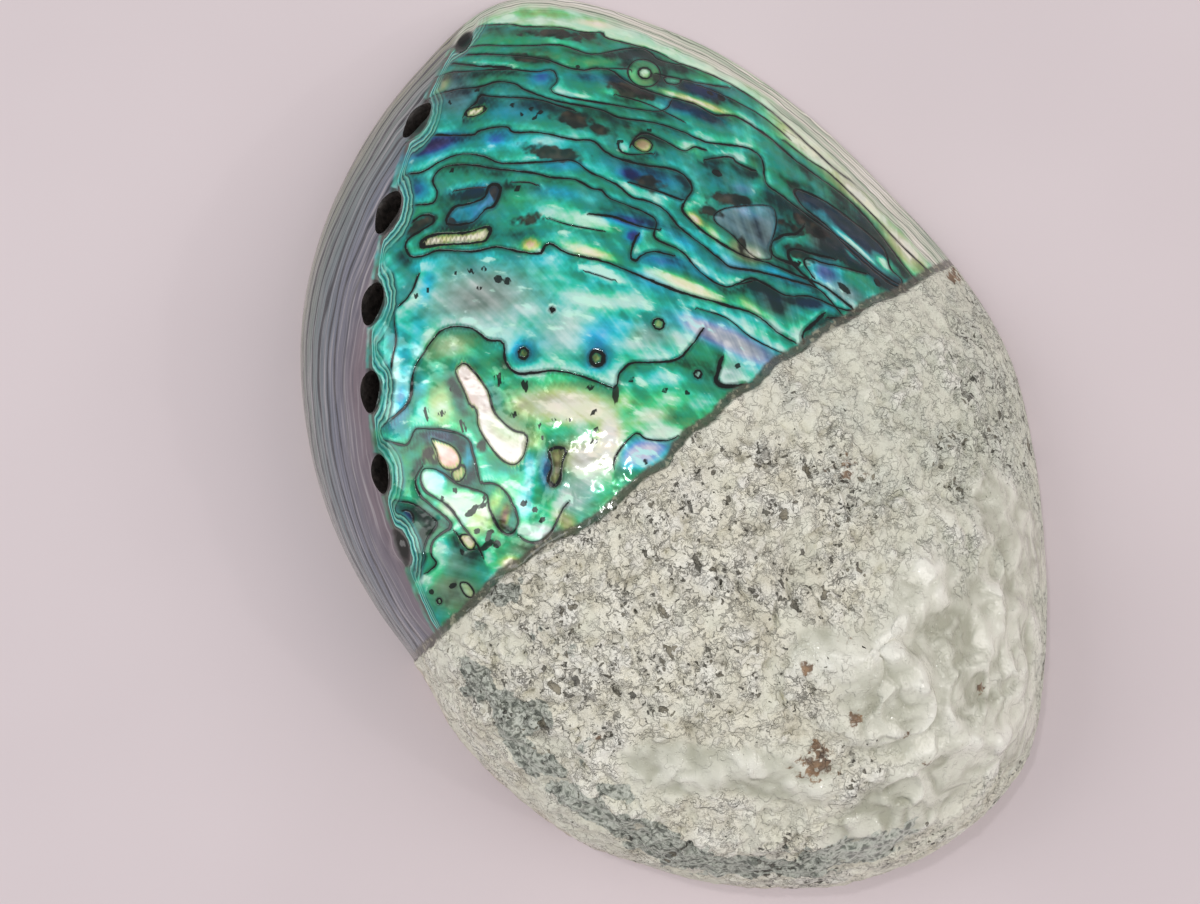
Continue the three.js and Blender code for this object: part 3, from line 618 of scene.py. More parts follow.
# Worm tubes and folds that grew over the spire: points along each, half width, height.
WORM_TUBES = [
    ([(21, -30.5), (21.5, -34), (17.5, -35), (13, -36), (9, -36.8), (5, -35)], 2.3, 1.3),
    ([(10, -38), (12.5, -40.5), (12.8, -44), (12, -47.5), (10, -49)], 1.3, 1.0),
    ([(1.5, -53), (4, -53.5), (6.5, -54.5), (9.5, -54), (13.5, -54.5), (18, -57), (22, -59)], 1.5, 1.2),
    ([(29, -41), (32, -44.5), (33.5, -48.5), (32.5, -53), (29.5, -57), (25.5, -58.5)], 1.5, 1.0),
    ([(19.5, -58.5), (17.5, -63), (13, -65.5), (8, -66)], 1.6, 0.9),
    ([(29, -40), (26.5, -47.5), (26, -51.5)], 1.1, 0.8),
    ([(30, -46.5), (28.3, -52.5), (25.5, -55)], 0.9, 0.7),
    ([(-21, -40), (-14, -42.5), (-10.5, -44.5), (-8, -48), (-5, -51.5), (-2.5, -53.7)], 2.2, 1.0),
    ([(0, -43), (2, -46), (4.5, -48), (7, -48.3)], 1.1, 0.9),
    ([(-4, -58.5), (-1, -62.5), (2.5, -64.5), (6.5, -64.5)], 1.4, 0.7),
    ([(20, -36.5), (23.5, -38), (25, -41.5), (24, -46), (21.5, -47)], 1.2, 0.8),
    ([(15.5, -40.5), (17, -43.5), (16, -46)], 1.3, 0.6),
    ([(-18, -8), (-18.6, -9.5), (-18.2, -10.8), (-19.2, -12), (-20.3, -11.6)], 0.55, 0.6),
    ([(-39.5, -9.5), (-38.7, -11), (-38.9, -12.5), (-37.8, -13.6)], 0.55, 0.6),
    ([(33, -20), (36, -26), (37.5, -33), (36.5, -38)], 1.4, 0.5),
]
# Round scars where other shells sat: x, y, half length, half width, turn.
SCARS = [
    (18.5, -50, 4.3, 3.3, 50), (4.5, -57, 2.9, 2.7, 0), (-12.5, -52.5, 3.7, 3.4, 0),
    (24.5, -52.3, 1.8, 1.5, 30), (9.5, -46, 3.4, 3.0, 0), (30.5, -36, 3.0, 2.5, 60),
]
# Smooth, glossy stretches of crust: x, y, half length, half width, turn.
GLAZED = [
    (17, -47, 17, 13, -30), (19.5, -34, 7, 5, 20), (4, -60, 14, 6, 10), (-12, -45.5, 11, 3.6, -40),
    (2.5, -33.5, 4, 3.5, 0), (29, -45, 7, 10, 0), (21, -60, 9, 5, -20), (38, -34, 5, 11, 12),
    (-21.5, -39.5, 8, 4, -38),
]
# Slate-blue bare patches: points along each, half width.
SLATE_PATCHES = [
    ([(-41, -15.5), (-39.5, -19.5), (-37.7, -22.5), (-36.5, -25)], 2.2),
    ([(-41.5, -23), (-40, -28), (-38, -34)], 1.5), ([(-38, -35), (-35.5, -40.5), (-31.5, -46)], 2.2),
    ([(-31.5, -46), (-27, -53), (-22, -57.5)], 2.6),
    ([(-22, -57.5), (-14, -61), (-6, -63.5), (1, -65)], 2.4),
    ([(-33.5, -31.5), (-33, -36.5), (-30.5, -40)], 0.8), ([(-32.2, -6), (-30, -7.2)], 0.9),
    ([(-29.2, -14.3), (-27.5, -16.5)], 0.7), ([(-38.5, -9.8), (-37.5, -13.5)], 0.5),
]
# Rust and olive stains: x, y, radius, strength of the brown.
STAINS = [
    (-4.5, -47.5, 3.4, 1.0), (3, -44, 1.3, 1.0), (0.3, -34.3, 1.6, 0.8), (-29.5, -30.5, 0.7, 1.0),
    (6.5, -33.5, 1.0, 0.6), (18, -13.5, 3.2, 0.6), (8.3, -50.3, 1.4, 0.6), (50.5, 3.0, 2.0, 0.9),
    (21.5, -50.5, 1.0, 0.8), (2.0, -20.0, 2.0, 0.3), (9.3, -55.5, 0.9, 0.6),
]
# Where pits are dense: x, y, radius.
PITTED = [
    (-6, -12, 15), (6, -17, 14), (16, -13, 7), (-17, -8, 9), (-30, -12, 9), (-14, -24, 12), (-4, -34, 9),
    (45, -15, 7), (-33, -26, 8), (0, -50, 5), (34, -60, 6), (36, -22, 7), (50, -6, 6), (51, -18, 6),
    (49, -30, 6), (45, -42, 5), (38, -54, 6), (-38, -18, 6), (-30, -48, 6), (-14, -62, 7), (3, -68, 6),
    (20, -66, 6),
]

# The youngest hole, only begun, by the front tip: x, y, half length, half width, turn.
BEGUN_HOLE = (0.4, 70.4, 2.2, 1.2, 38)

CRUST_THICKNESS = 1.0


def zone_share(x, y, zones):
    """1 inside any of the ovals, fading to 0 outside."""
    share = np.zeros(np.shape(x))
    for zone in zones:
        share = np.maximum(share, 1 - smooth(0.75, 1.25, cloud(x, y, *zone)))
    return share


def crust_relief(points, reach):
    """Height of the lime over the shell's own surface, in mm, thinning out to the lip."""
    x, y = points[:, 0], points[:, 1]
    ragged = 0.35 * lumps(points, 1.7) + 0.25 * lumps(points, 0.9)
    on_crust = smooth(-0.45, 0.45, crust_side(x, y) + ragged)
    glaze = zone_share(x, y, GLAZED)
    rough = 1 - 0.75 * glaze
    pitted = zone_share(x, y, [(cx, cy, r, r, 0) for cx, cy, r in PITTED])
    flakes = np.abs(lumps(points, 2.6)) + 0.6 * np.abs(lumps(points, 1.4))
    pits = smooth(0.32, 0.62, lumps(points, 1.25)) * (0.35 + 0.65 * pitted)
    height = CRUST_THICKNESS + 0.6 * lumps(points, 7) + rough * (flakes - 0.55 + 0.2 * lumps(points, 0.8))
    folds = smooth(0, 0.6, np.abs(lumps(points, 4.2)))
    height += glaze * (0.4 * folds - 0.2 + 0.16 * lumps(points, 2.0)) - 0.7 * pits * rough
    for path, half_width, rise in WORM_TUBES:
        away = distance_to(curved(path), x, y)
        height += rise * bell(away / half_width)
    for scar in SCARS:
        ring = cloud(x, y, *scar)
        height += 0.45 * bell((ring - 1) / 0.16) - 0.25 * (1 - smooth(0.8, 1.0, ring))
    for path, half_width in SLATE_PATCHES:
        height -= 0.45 * (1 - smooth(0.7, 1.2, distance_to(curved(path), x, y) / half_width))
    return on_crust * np.maximum(height * crust_share(reach), 0.1)


def crust_share(reach):
    """The crust thins out towards the lip; reach is the way up from it in mm."""
    return mix(0.1, 1, smooth(0, 42, reach))


def polish_relief(points):
    """The hand-ground half: faint waves left by the wheel, and a rolled edge at each hole."""
    x, y = points[:, 0], points[:, 1]
    waves = 0.1 * lumps(points, 9) + 0.055 * lumps(points * (1.6, 0.8, 1), 4.2)
    begun = 1 - smooth(0.4, 1.1, cloud(x, y, *BEGUN_HOLE))
    return waves - 0.35 * bell((nearest_hole(x, y) + 0.2) / 0.6) - 0.9 * begun


# ---------------------------------------------------------------- the mesh

def square_rings(rings):
    """Ring number, angle and faces of a disc made of a square grid bent round."""
    side = np.arange(-rings, rings + 1)
    a, b = (g.ravel().astype(float) for g in np.meshgrid(side, side, indexing="ij"))
    number = np.maximum(np.abs(a), np.abs(b))
    safe = np.maximum(number, 1)
    flat = np.abs(a) >= np.abs(b)
    angle = np.where(flat, math.pi / 4 * b / safe * np.where(a < 0, -1, 1) + math.pi * (a < 0),
                     math.pi / 2 - math.pi / 4 * a / safe * np.where(b < 0, -1, 1) + math.pi * (b < 0))
    n = len(side)
    corner = (np.arange(n - 1)[:, None] * n + np.arange(n - 1)).ravel()
    faces = np.stack([corner, corner + n, corner + n + 1, corner + 1], 1)
    index = np.arange(n * n).reshape(n, n)
    rim = np.concatenate([index[-1, :-1], index[::-1, -1][:-1], index[0, ::-1][:-1], index[:, 0][:-1]])
    rim = rim[np.argsort(angle[rim] % (2 * math.pi))]
    return number.astype(int), angle % (2 * math.pi), faces, rim


def even_shares(rings):
    """For many directions, each ring's share of the way from crown to lip, even over the surface."""
    directions = np.linspace(0, 2 * math.pi, 361)
    u = 1 - (1 - np.linspace(0, 1, 500)) ** 2
    out = []
    for angle in directions:
        r = u * lip_radius(np.array(angle))
        z = dome_height(CROWN[0] + r * math.cos(angle), CROWN[1] + r * math.sin(angle))
        walked = np.concatenate([[0], np.cumsum(np.hypot(np.diff(r), np.diff(z)))])
        walked = walked / walked[-1] + PLAN_WEIGHT * u
        out.append(np.interp(np.arange(rings + 1) / rings, walked / walked[-1], u))
    return directions, np.array(out)


def share_at(table, number, angle):
    directions, shares = table
    t = angle / (2 * math.pi) * (len(directions) - 1)
    i = np.minimum(t.astype(int), len(directions) - 2)
    return mix(shares[i, number], shares[i + 1, number], t - i)


def surface_normals(points, faces):
    a, b, c, d = (points[faces[:, k]] for k in range(4))
    across = np.cross(c - a, d - b)
    normals = np.zeros_like(points)
    for k in range(4):
        np.add.at(normals, faces[:, k], across)
    return normals / np.linalg.norm(normals, axis=1, keepdims=True)


def outer_points():
    number, angle, faces, rim = square_rings(OUTER_RINGS)
    u = share_at(even_shares(OUTER_RINGS), number, angle)
    r = u * lip_radius(angle)
    x = CROWN[0] + r * np.cos(angle)
    y = CROWN[1] + r * np.sin(angle)
    points = np.stack([x, y, dome_height(x, y)], 1)
    normals = surface_normals(points, faces)
    reach = lip_radius(angle) * (1 - u) + points[:, 2]
    relief = crust_relief(points, reach) + polish_relief(points) * smooth(0, 4, reach)
    points += normals * relief[:, None]
    points[:, 2] = np.maximum(points[:, 2], LIP_ROUND)
    return points, faces, rim, angle


def ceiling_height(x, y, w):
    dx, dy = slope(x, y)
    steepness = np.minimum(STEEPEST_OFFSET, np.hypot(dx, dy))
    under = dome_height(x, y) - WALL * np.hypot(1, steepness)
    return np.maximum(0, under) * np.sqrt(np.clip(1 - w**CEILING_POWER, 0, 1))


def inner_points():
    number, angle, faces, rim = square_rings(INNER_RINGS)
    share = np.sin(math.pi / 2 * number / INNER_RINGS)
    r = share * (lip_radius(angle) - lip_width(angle))
    x = CROWN[0] + r * np.cos(angle)
    y = CROWN[1] + r * np.sin(angle)
    points = np.stack([x, y, ceiling_height(x, y, share)], 1)
    points[:, 2] = np.maximum(points[:, 2], LIP_ROUND)
    return points, faces[:, ::-1], rim, angle


OUTSIDE, INSIDE, LIP, HOLE_WALL = range(4)


def shell_solid():
    """The closed shell as points, faces and what each face belongs to."""
    outer, outer_faces, outer_rim, outer_angle = outer_points()
    inner, inner_faces, inner_rim, inner_angle = inner_points()
    foot_angle = outer_angle[outer_rim]
    chips = LIP_CHIPS * np.abs(lumps(outer[outer_rim], 1.3))
    foot = outer[outer_rim].copy()
    foot[:, 0] -= (LIP_ROUND + chips) * np.cos(foot_angle)
    foot[:, 1] -= (LIP_ROUND + chips) * np.sin(foot_angle)
    foot[:, 2] = 0
    mouth_angle = inner_angle[inner_rim]
    mouth = inner[inner_rim].copy()
    mouth[:, 0] += 2 * LIP_ROUND * np.cos(mouth_angle)
    mouth[:, 1] += 2 * LIP_ROUND * np.sin(mouth_angle)
    mouth[:, 2] = 0
    points = np.concatenate([outer, inner, foot, mouth])
    inner_start = len(outer)
    foot_ids = inner_start + len(inner) + np.arange(len(foot))
    mouth_ids = foot_ids[-1] + 1 + np.arange(len(mouth))
    faces = [(OUTSIDE, f) for f in outer_faces.tolist()]
    faces += [(INSIDE, f) for f in (inner_faces + inner_start).tolist()]
    inner_rim = inner_rim + inner_start
    n, m = len(foot), len(mouth)
    for i in range(n):
        j = (i + 1) % n
        faces.append((LIP, [outer_rim[i], foot_ids[i], foot_ids[j], outer_rim[j]]))
    for i in range(m):
        j = (i + 1) % m
        a, b, c = foot_ids[2 * i], foot_ids[2 * i + 1], foot_ids[(2 * i + 2) % n]
        faces.append((LIP, [a, mouth_ids[i], mouth_ids[j], c, b]))
        faces.append((LIP, [mouth_ids[i], inner_rim[i], inner_rim[j], mouth_ids[j]]))
    return points, faces


def mesh_of(name, points, faces, kinds):
    mesh = bpy.data.meshes.new(name)
    mesh.from_pydata((points * MM).tolist(), [], [list(map(int, f)) for f in faces])
    mesh.update()
    mesh.polygons.foreach_set("material_index", kinds)
    return mesh


def hole_cutter(index):
    """A plug with a flared mouth that cuts one breathing hole, square to the surface."""
    x, y, heading, size = hole_place(index)
    here = np.array([x]), np.array([y])
    dx, dy = (float(v[0]) for v in slope(*here))
    normal = Vector((-dx, -dy, 1)).normalized()
    along = Vector((math.cos(heading), math.sin(heading), 0))
    along = (along - normal * along.dot(normal)).normalized()
    across = normal.cross(along)
    top = Vector((x, y, float(dome_height(*here)[0])))
    # Height over the surface, and how wide the hole is open there.
    profile = [(-9, 0.94), (-2.2, 0.94), (-1.0, 0.96), (-0.3, 1.02), (0.2, 1.14), (2.0, 1.9)]
    sides = 40
    points, faces = [], []
    for depth, flare in profile:
        for k in range(sides):
            a = 2 * math.pi * k / sides
            out = across * (HOLE["width"] / 2 * size * flare * math.cos(a))
            out += along * (HOLE["length"] / 2 * size * flare * math.sin(a))
            points.append(top + out + normal * depth)
    for ring in range(len(profile) - 1):
        for k in range(sides):
            a, b = ring * sides + k, ring * sides + (k + 1) % sides
            faces.append([a, a + sides, b + sides, b])
    faces.append(list(range(sides)))
    faces.append(list(range(len(points) - 1, len(points) - sides - 1, -1)))
    mesh = mesh_of("hole_cutter", np.array([tuple(p) for p in points]), faces, [HOLE_WALL] * len(faces))
    return bpy.data.objects.new("hole_cutter", mesh)


def facing_out(mesh):
    """Turns the faces of a closed mesh outwards."""
    b = bmesh.new()
    b.from_mesh(mesh)
    bmesh.ops.recalc_face_normals(b, faces=b.faces)
    if b.calc_volume(signed=True) < 0:
        bmesh.ops.reverse_faces(b, faces=b.faces)
    b.to_mesh(mesh)
    b.free()


def build_shell():
    points, faces = shell_solid()
    mesh = mesh_of("abalone_shell", points, [f for _, f in faces], [kind for kind, _ in faces])
    shell = bpy.data.objects.new("abalone_shell", mesh)
    scene.collection.objects.link(shell)
    facing_out(mesh)
    for material in shell_materials:
        mesh.materials.append(material)
    cutters = bpy.data.collections.new("cutters")
    scene.collection.children.link(cutters)
    for index in range(OPEN_HOLES):
        cutter = hole_cutter(index)
        facing_out(cutter.data)
        for material in shell_materials:
            cutter.data.materials.append(material)
        cutters.objects.link(cutter)
    cut = shell.modifiers.new("holes", "BOOLEAN")
    cut.operation = "DIFFERENCE"
    cut.operand_type = "COLLECTION"
    cut.collection = cutters
    cut.solver = "MANIFOLD"
    scene.view_layers[0].update()
    done = bpy.data.meshes.new_from_object(shell.evaluated_get(bpy.context.evaluated_depsgraph_get()))
    shell.modifiers.clear()
    shell.data = done
    done.name = "abalone_shell"
    for cutter in list(cutters.objects):
        bpy.data.objects.remove(cutter)
    bpy.data.collections.remove(cutters)
    done.shade_smooth()
    done.set_sharp_from_angle(angle=SHARP_EDGE)
    return shell


# ---------------------------------------------------------------- vertex values that the materials read

# Distances to layers and markings are stored no larger than these, in mm.
OFF_LAYERS = 6.0
OFF_MARKS = 3.0
OFF_SLATE = 4.0


class Layers:
    """Collects dark layers. Neighbours go in different sets, so that a set's signed distance changes sign
    only on a layer. Distances are scaled so that every layer is drawn at its own width."""

    def __init__(self, points):
        self.signed = [np.full(len(points), OFF_LAYERS) for _ in range(LAYER_SETS)]
        self.near = [np.full(len(points), OFF_LAYERS) for _ in range(LAYER_SETS)]
        self.lines = [np.full((1, 2), FAR) for _ in range(LAYER_SETS)]
        self.shine = np.zeros(len(points))

    def draw(self, line, signed, half_width):
        gaps = [np.min(np.hypot(*(line[:, None] - drawn[None]).transpose(2, 0, 1))) for drawn in self.lines]
        best = int(np.argmax(gaps))
        away = np.abs(signed)
        nearer = away < self.near[best]
        self.signed[best] = np.where(nearer, signed * LAYER_WIDTH / half_width, self.signed[best])
        self.near[best] = np.minimum(self.near[best], away)
        self.lines[best] = np.concatenate([self.lines[best], line])
        # Painted sheen just in front of a layer, where the nacre lies flat; painted shade behind it, where
        # it would dip.
        strength = np.where(signed > 0, LAYER_SHINE, LAYER_SHADE)
        self.shine += np.clip(signed / 0.8, -1, 1) * strength * np.exp(-away)


def from_ovals(x, y, ovals):
    """Distance from the nearest oval's outline in mm, negative inside it."""
    best = np.full(np.shape(x), OFF_MARKS)
    for cx, cy, half_length, half_width, turn in ovals:
        best = np.minimum(best, (cloud(x, y, cx, cy, half_length, half_width, turn) - 1) * half_width)
    return best


def clouded(tints, x, y, clouds):
    """Hue, paleness and grey with soft patches laid over them."""
    for cx, cy, half_length, half_width, turn, *tint in clouds:
        share = np.exp(-cloud(x, y, cx, cy, half_length, half_width, turn) ** 2.6)
        tints = mix(tints, np.array(tint)[:, None], share)
    return tints


def nacre_fields(points):
    x, y = points[:, 0], points[:, 1]
    layers = Layers(points)
    band = np.zeros(np.shape(x), int)
    for half_width, seen, hidden in GROWTH_LAYERS:
        line = curved(seen)
        layers.draw(line, side_of(line, x, y), half_width)
        line = np.concatenate([line, np.array(hidden).reshape(-1, 2)])
        front = np.array([(FAR, line[-1][1]), (FAR, FAR), (-FAR, FAR), (-FAR, line[0][1])])
        band += ~within(np.concatenate([line, front]), x, y)
    for half_width, seen in SHORT_LAYERS:
        line = curved(seen)
        layers.draw(line, side_of(line, x, y), half_width)
    hue, pale = np.array(BAND_TINTS)[np.minimum(band, len(BAND_TINTS) - 1)].T
    tints = clouded(np.array([hue, pale, np.zeros(np.shape(x))]), x, y, TINT_CLOUDS)
    for half_width, outline, *tint in ISLANDS:
        line = curved(outline, closed=True)
        away = np.where(within(line, x, y), 1, -1) * distance_to(line, x, y, closed=True)
        layers.draw(line, away, half_width)
        tints = mix(tints, np.array(tint)[:, None], smooth(-0.3, 0.5, away))
    for cx, cy, radius, half_width, *tint in HEALED_SPOTS:
        away = radius - np.hypot(x - cx, y - cy)
        layers.draw(np.array([(cx, cy)]), away, half_width)
        tints = mix(tints, np.array(tint)[:, None], smooth(-0.2, 0.5, away))
    hue, pale, grey = clouded(tints, x, y, LATE_CLOUDS)
    pale += np.clip(layers.shine, -0.45, 0.45)
    fields = {"hue": hue, "pale": pale, "grey": grey, "umber": from_ovals(x, y, UMBER_CLOUDS),
              "boring": from_ovals(x, y, BORINGS)}
    for number in range(LAYER_SETS):
        fields[f"layer_{number}"] = layers.signed[number]
        fields[f"layer_away_{number}"] = layers.near[number]
    return fields


def crust_fields(points):
    x, y = points[:, 0], points[:, 1]
    slate = np.full(np.shape(x), OFF_SLATE)
    for path, half_width in SLATE_PATCHES:
        slate = np.minimum(slate, distance_to(curved(path), x, y) - half_width)
    stain = np.zeros(np.shape(x))
    for cx, cy, radius, strength in STAINS:
        stain = np.maximum(stain, strength * bell(cloud(x, y, cx, cy, radius, radius, 0)))
    return {
        "slate": slate,
        "stain": stain,
        "glaze": zone_share(x, y, GLAZED),
        "pitted": zone_share(x, y, [(cx, cy, r, r, 0) for cx, cy, r in PITTED]),
    }


# The radius at which turns about the spire are told as mm.
AROUND_RADIUS = 60


def write_fields(mesh):
    """Stores each field on the vertices as a named value, in mm or as a share."""
    co = np.empty(len(mesh.vertices) * 3, np.float32)
    mesh.vertices.foreach_get("co", co)
    points = co.reshape(-1, 3).astype(float) / MM
    x, y = points[:, 0], points[:, 1]
    _, angle = polar(x, y, CROWN)
    fields = nacre_fields(points)
    fields.update(crust_fields(points))
    fields["crust"] = crust_side(x, y)
    fields["growth"] = growth_depth(x, y)
    fields["around"] = polar(x, y, SPIRE)[1] * AROUND_RADIUS
    rim = nearest_hole(x, y)
    wall = below_holes(x, y)
    # Layers hug each hole on the dome's side and draw together between the holes.
    fields["rim"] = rim
    fields["collar"] = -np.log(np.exp(-4 * rim) + np.exp(4 * np.minimum(2.0 * (wall + 0.5), 2))) / 4
    fields["wall"] = wall
    fields["begun"] = cloud(x, y, *BEGUN_HOLE)
    # How far the crust stands above or below its usual height.
    dx, dy = slope(x, y)
    risen = (points[:, 2] - dome_height(x, y)) / np.hypot(1, np.hypot(dx, dy))
    reach = lip_radius(angle) - polar(x, y, CROWN)[0] + points[:, 2]
    fields["lift"] = np.clip(risen - CRUST_THICKNESS * crust_share(reach), -2, 2)
    fields["lip_gap"] = np.hypot(lip_radius(angle) - polar(x, y, CROWN)[0], 0.7 * points[:, 2])
    for name, values in fields.items():
        stored = mesh.attributes.new(name, "FLOAT", "POINT")
        stored.data.foreach_set("value", values.astype(np.float32))


# ---------------------------------------------------------------- materials

# Settings that every node of a kind shares here. A noise's inputs are its place, a number that only tells
# it from the other noises, its scale as 1 over its size in mm, and its detail.
USUAL = {
    "MapRange": {"interpolation_type": "SMOOTHSTEP"},
    "Mix": {"data_type": "RGBA"},
    "TexNoise": {"noise_dimensions": "4D", "normalize": False},
}
# Which output of these nodes is read.
ON_OBJECT, SHARE, COLOUR = 3, 2, 1


def linear(hex_colour):
    """An sRGB hex colour as linear red, green, blue, alpha."""
    parts = [int(hex_colour[i:i + 2], 16) / 255 for i in (1, 3, 5)]
    return (*[c / 12.92 if c <= 0.04045 else ((c + 0.055) / 1.055) ** 2.4 for c in parts], 1)


def add(tree, kind, *inputs, out=0, stops=None, **settings):
    """Adds a node and gives back one of its outputs, if it has any. A second word in its kind is its
    operation. Inputs are values, hex colours or outputs of other nodes, in the node's own order or by name
    in a dict."""
    kind, _, operation = kind.partition(" ")
    made = tree.nodes.new("ShaderNode" + kind)
    if operation:
        made.operation = operation
    for name, value in (USUAL.get(kind, {}) | settings).items():
        setattr(made, name, value)
    if stops:
        elements = made.color_ramp.elements
        elements.remove(elements[1])
        elements[0].position = stops[0][0]
        elements[0].color = linear(stops[0][1])
        for place, colour in stops[1:]:
            elements.new(place).color = linear(colour)
    if inputs and isinstance(inputs[0], dict):
        pairs = [(made.inputs[name], value) for name, value in inputs[0].items()]
    else:
        pairs = zip([socket for socket in made.inputs if socket.enabled], inputs)
    for socket, value in pairs:
        if isinstance(value, bpy.types.NodeSocket):
            tree.links.new(value, socket)
        else:
            socket.default_value = linear(value) if isinstance(value, str) else value
    outputs = [socket for socket in made.outputs if socket.enabled]
    return outputs[out] if outputs else None


def start_material(finish, fields=()):
    """A new material, what adds its nodes, the place on the object in mm, and its vertex values."""
    material = bpy.data.materials.new(finish)
    material.use_nodes = True
    material.node_tree.nodes.clear()
    n = functools.partial(add, material.node_tree)
    place = n("VectorMath SCALE", n("TexCoord", out=ON_OBJECT), 1 / MM)
    return material, n, place, {name: n("Attribute", attribute_name=name, out=SHARE) for name in fields}


def with_shares(n, value, parts):
    """A value with shares of other values added to it."""
    for part, share in parts:
        value = n("Math MULTIPLY_ADD", part, share, value)
    return value


def coated(n, colour, coats):
    """A colour with others laid over it in turn, each with the share it covers."""
    for share, over in coats:
        colour = n("Mix", share, colour, over)
    return colour


def growth_lines(n, layers, half_width):
    """Thin lines half-way between whole numbers of layers, as a share from 0 to 1."""
    step = n("Math ABSOLUTE", n("Math SUBTRACT", n("Math FRACT", layers), 0.5))
    return n("MapRange", step, half_width, half_width * 0.3)


def finish_material(n, shader, relief, depth):
    """Closes a material: its shader's inputs, and relief as heights that are 1 for depth mm."""
    normal = n("Bump", {"Strength": 1.0, "Distance": depth * MM, "Height": relief})
    n("OutputMaterial", n("BsdfPrincipled", {**shader, "Normal": normal}))


# Colours of the nacre by hue, where it is deep, full and pale.
DEEP_NACRE = [(0, "#4f3328"), (0.2, "#2d3616"), (0.4, "#082c20"), (0.5, "#072d31"), (0.65, "#082f4c"),
              (0.8, "#101f50"), (1, "#25194e")]
FULL_NACRE = [(0, "#c4957c"), (0.2, "#92b055"), (0.4, "#2a9c6a"), (0.5, "#189486"), (0.65, "#1699b6"),
              (0.8, "#2a5cb4"), (1, "#6652a4")]
VIVID_NACRE = [(0, "#f0c0b0"), (0.2, "#cfe27a"), (0.4, "#3fdc90"), (0.5, "#2fd6bc"), (0.65, "#27cdee"),
               (0.8, "#4a90ee"), (1, "#a48ae0")]
PALE_NACRE = [(0, "#f8e0d8"), (0.2, "#eff3c6"), (0.4, "#b8f2ce"), (0.5, "#bcecdf"), (0.65, "#92f0f2"),
              (0.8, "#accdf2"), (1, "#d8c4e6")]
SILVER_NACRE = [(0, "#28302e"), (0.45, "#7d8d86"), (0.8, "#b3bdb8"), (1, "#e6eae8")]
SHEEN_FLAME_NACRE = [(0.05, "#fff0e8"), (0.2, "#f8f8dc"), (0.45, "#d0ffe4"), (0.65, "#c0fcf8")]
LAYER_FRINGE = [(0.1, "#37321c"), (0.4, "#0e3626"), (0.6, "#0a313b"), (0.85, "#161d3e")]
UMBER = [(0.2, "#0b0f0c"), (0.5, "#1f1f1a"), (0.9, "#463f31")]


def polished_nacre(n, place, f):
    """Colour of the ground and buffed nacre: bands of green, teal and blue between thin dark layers."""
    flow = n("CombineXYZ", f["around"], f["growth"], 0.0)
    fine = n("TexNoise", place, 0.0, 1 / 0.5, 2.0)
    small = n("TexNoise", place, 3.0, 1 / 1.4, 2.0)
    wide = n("TexNoise", place, 5.0, 1 / 5.0, 2.0)
    # Streaks that run back from the lip, and grain that runs with the layers.
    streaks = n("TexNoise", n("VectorMath MULTIPLY", flow, (0.9, 0.1, 0)), 0.0, 1.0, 2.0)
    grain = n("TexNoise", n("VectorMath MULTIPLY", flow, (0.1, 0.6, 0)), 4.0, 1.0, 2.0)
    patchy = n("TexNoise", n("VectorMath MULTIPLY", flow, (0.22, 0.36, 0)), 8.0, 1.0, 3.0)
    hue = with_shares(n, f["hue"], [(small, 0.045), (wide, 0.045), (grain, 0.06)])
    pale = with_shares(n, f["pale"], [
        (streaks, 0.13), (wide, 0.12), (grain, 0.18), (small, 0.09), (patchy, 0.22)])
    deep, full, vivid, light = (
        n("ValToRGB", hue, stops=stops) for stops in (DEEP_NACRE, FULL_NACRE, VIVID_NACRE, PALE_NACRE))
    # Silver grey: the nacre's own grey, and over the silver middle a painted sheen as well.
    silver = n("ValToRGB", with_shares(n, pale, [(streaks, 0.1)]), stops=SILVER_NACRE)
    silvered = with_shares(n, f["grey"], [(wide, 0.1), (streaks, 0.1)])
    # Painted sheen: near-white flames on the brightest plates, where the nacre is palest.
    sheen_flame = n("TexNoise", n("VectorMath MULTIPLY", flow, (0.5, 0.9, 0)), 9.0, 1.0, 4.0)
    sheen_flame = with_shares(n, n("Math MULTIPLY", pale, 0.36), [(sheen_flame, 0.26)])
    sheen_flame = n("MapRange", sheen_flame, 0.33, 0.46, 0.0, 0.85)
    # Umber where the grinding ran along a dark layer.
    umber_edge = with_shares(n, f["umber"], [(n("TexNoise", place, 2.0, 1 / 1.8, 2.0), 0.7)])
    umber_tone = n("TexNoise", place, 16.0, 1 / 2.0, 1.0)
    # Small borings, black with a hint of green.
    boring = with_shares(n, f["boring"], [(fine, 0.07)])
    colour = coated(n, deep, [
        (n("MapRange", pale, 0.02, 0.5), full),
        (n("MapRange", pale, 0.48, 0.78), vivid),
        (n("MapRange", pale, 0.68, 1.0), light),
        (silvered, silver),
        (sheen_flame, n("ValToRGB", hue, stops=SHEEN_FLAME_NACRE)),
        (n("MapRange", umber_edge, 0.4, -0.2, 0.0, 0.95),
         n("ValToRGB", n("Math MULTIPLY_ADD", umber_tone, 0.6, 0.5), stops=UMBER)),
        (n("MapRange", boring, 0.24, 0.12, 0.0, 0.95), "#07110e"),
    ])
    # The main dark layers, each in one of the sets.
    weight = n("Math MULTIPLY_ADD", n("TexNoise", place, 14.0, 1 / 3.0, 1.0), 0.11, LAYER_CORE)
    core, fringe = 0.0, 0.0
    for number in range(LAYER_SETS):
        line = n("Math ABSOLUTE", with_shares(n, f[f"layer_{number}"], [(fine, 0.04), (small, 0.07)]))
        drawn = n("MapRange", f[f"layer_away_{number}"], 0.75, 0.45)
        edge = n("MapRange", n("Math SUBTRACT", line, weight), 0.05, -0.07)
        core = n("Math MAXIMUM", core, n("Math MULTIPLY", edge, drawn))
        halo = n("MapRange", line, 0.56, 0.18, 0.0, 0.6)
        fringe = n("Math MAXIMUM", fringe, n("Math MULTIPLY", halo, drawn))
    return coated(n, colour, [(fringe, n("ValToRGB", hue, stops=LAYER_FRINGE)), (core, "#040b09")]), core


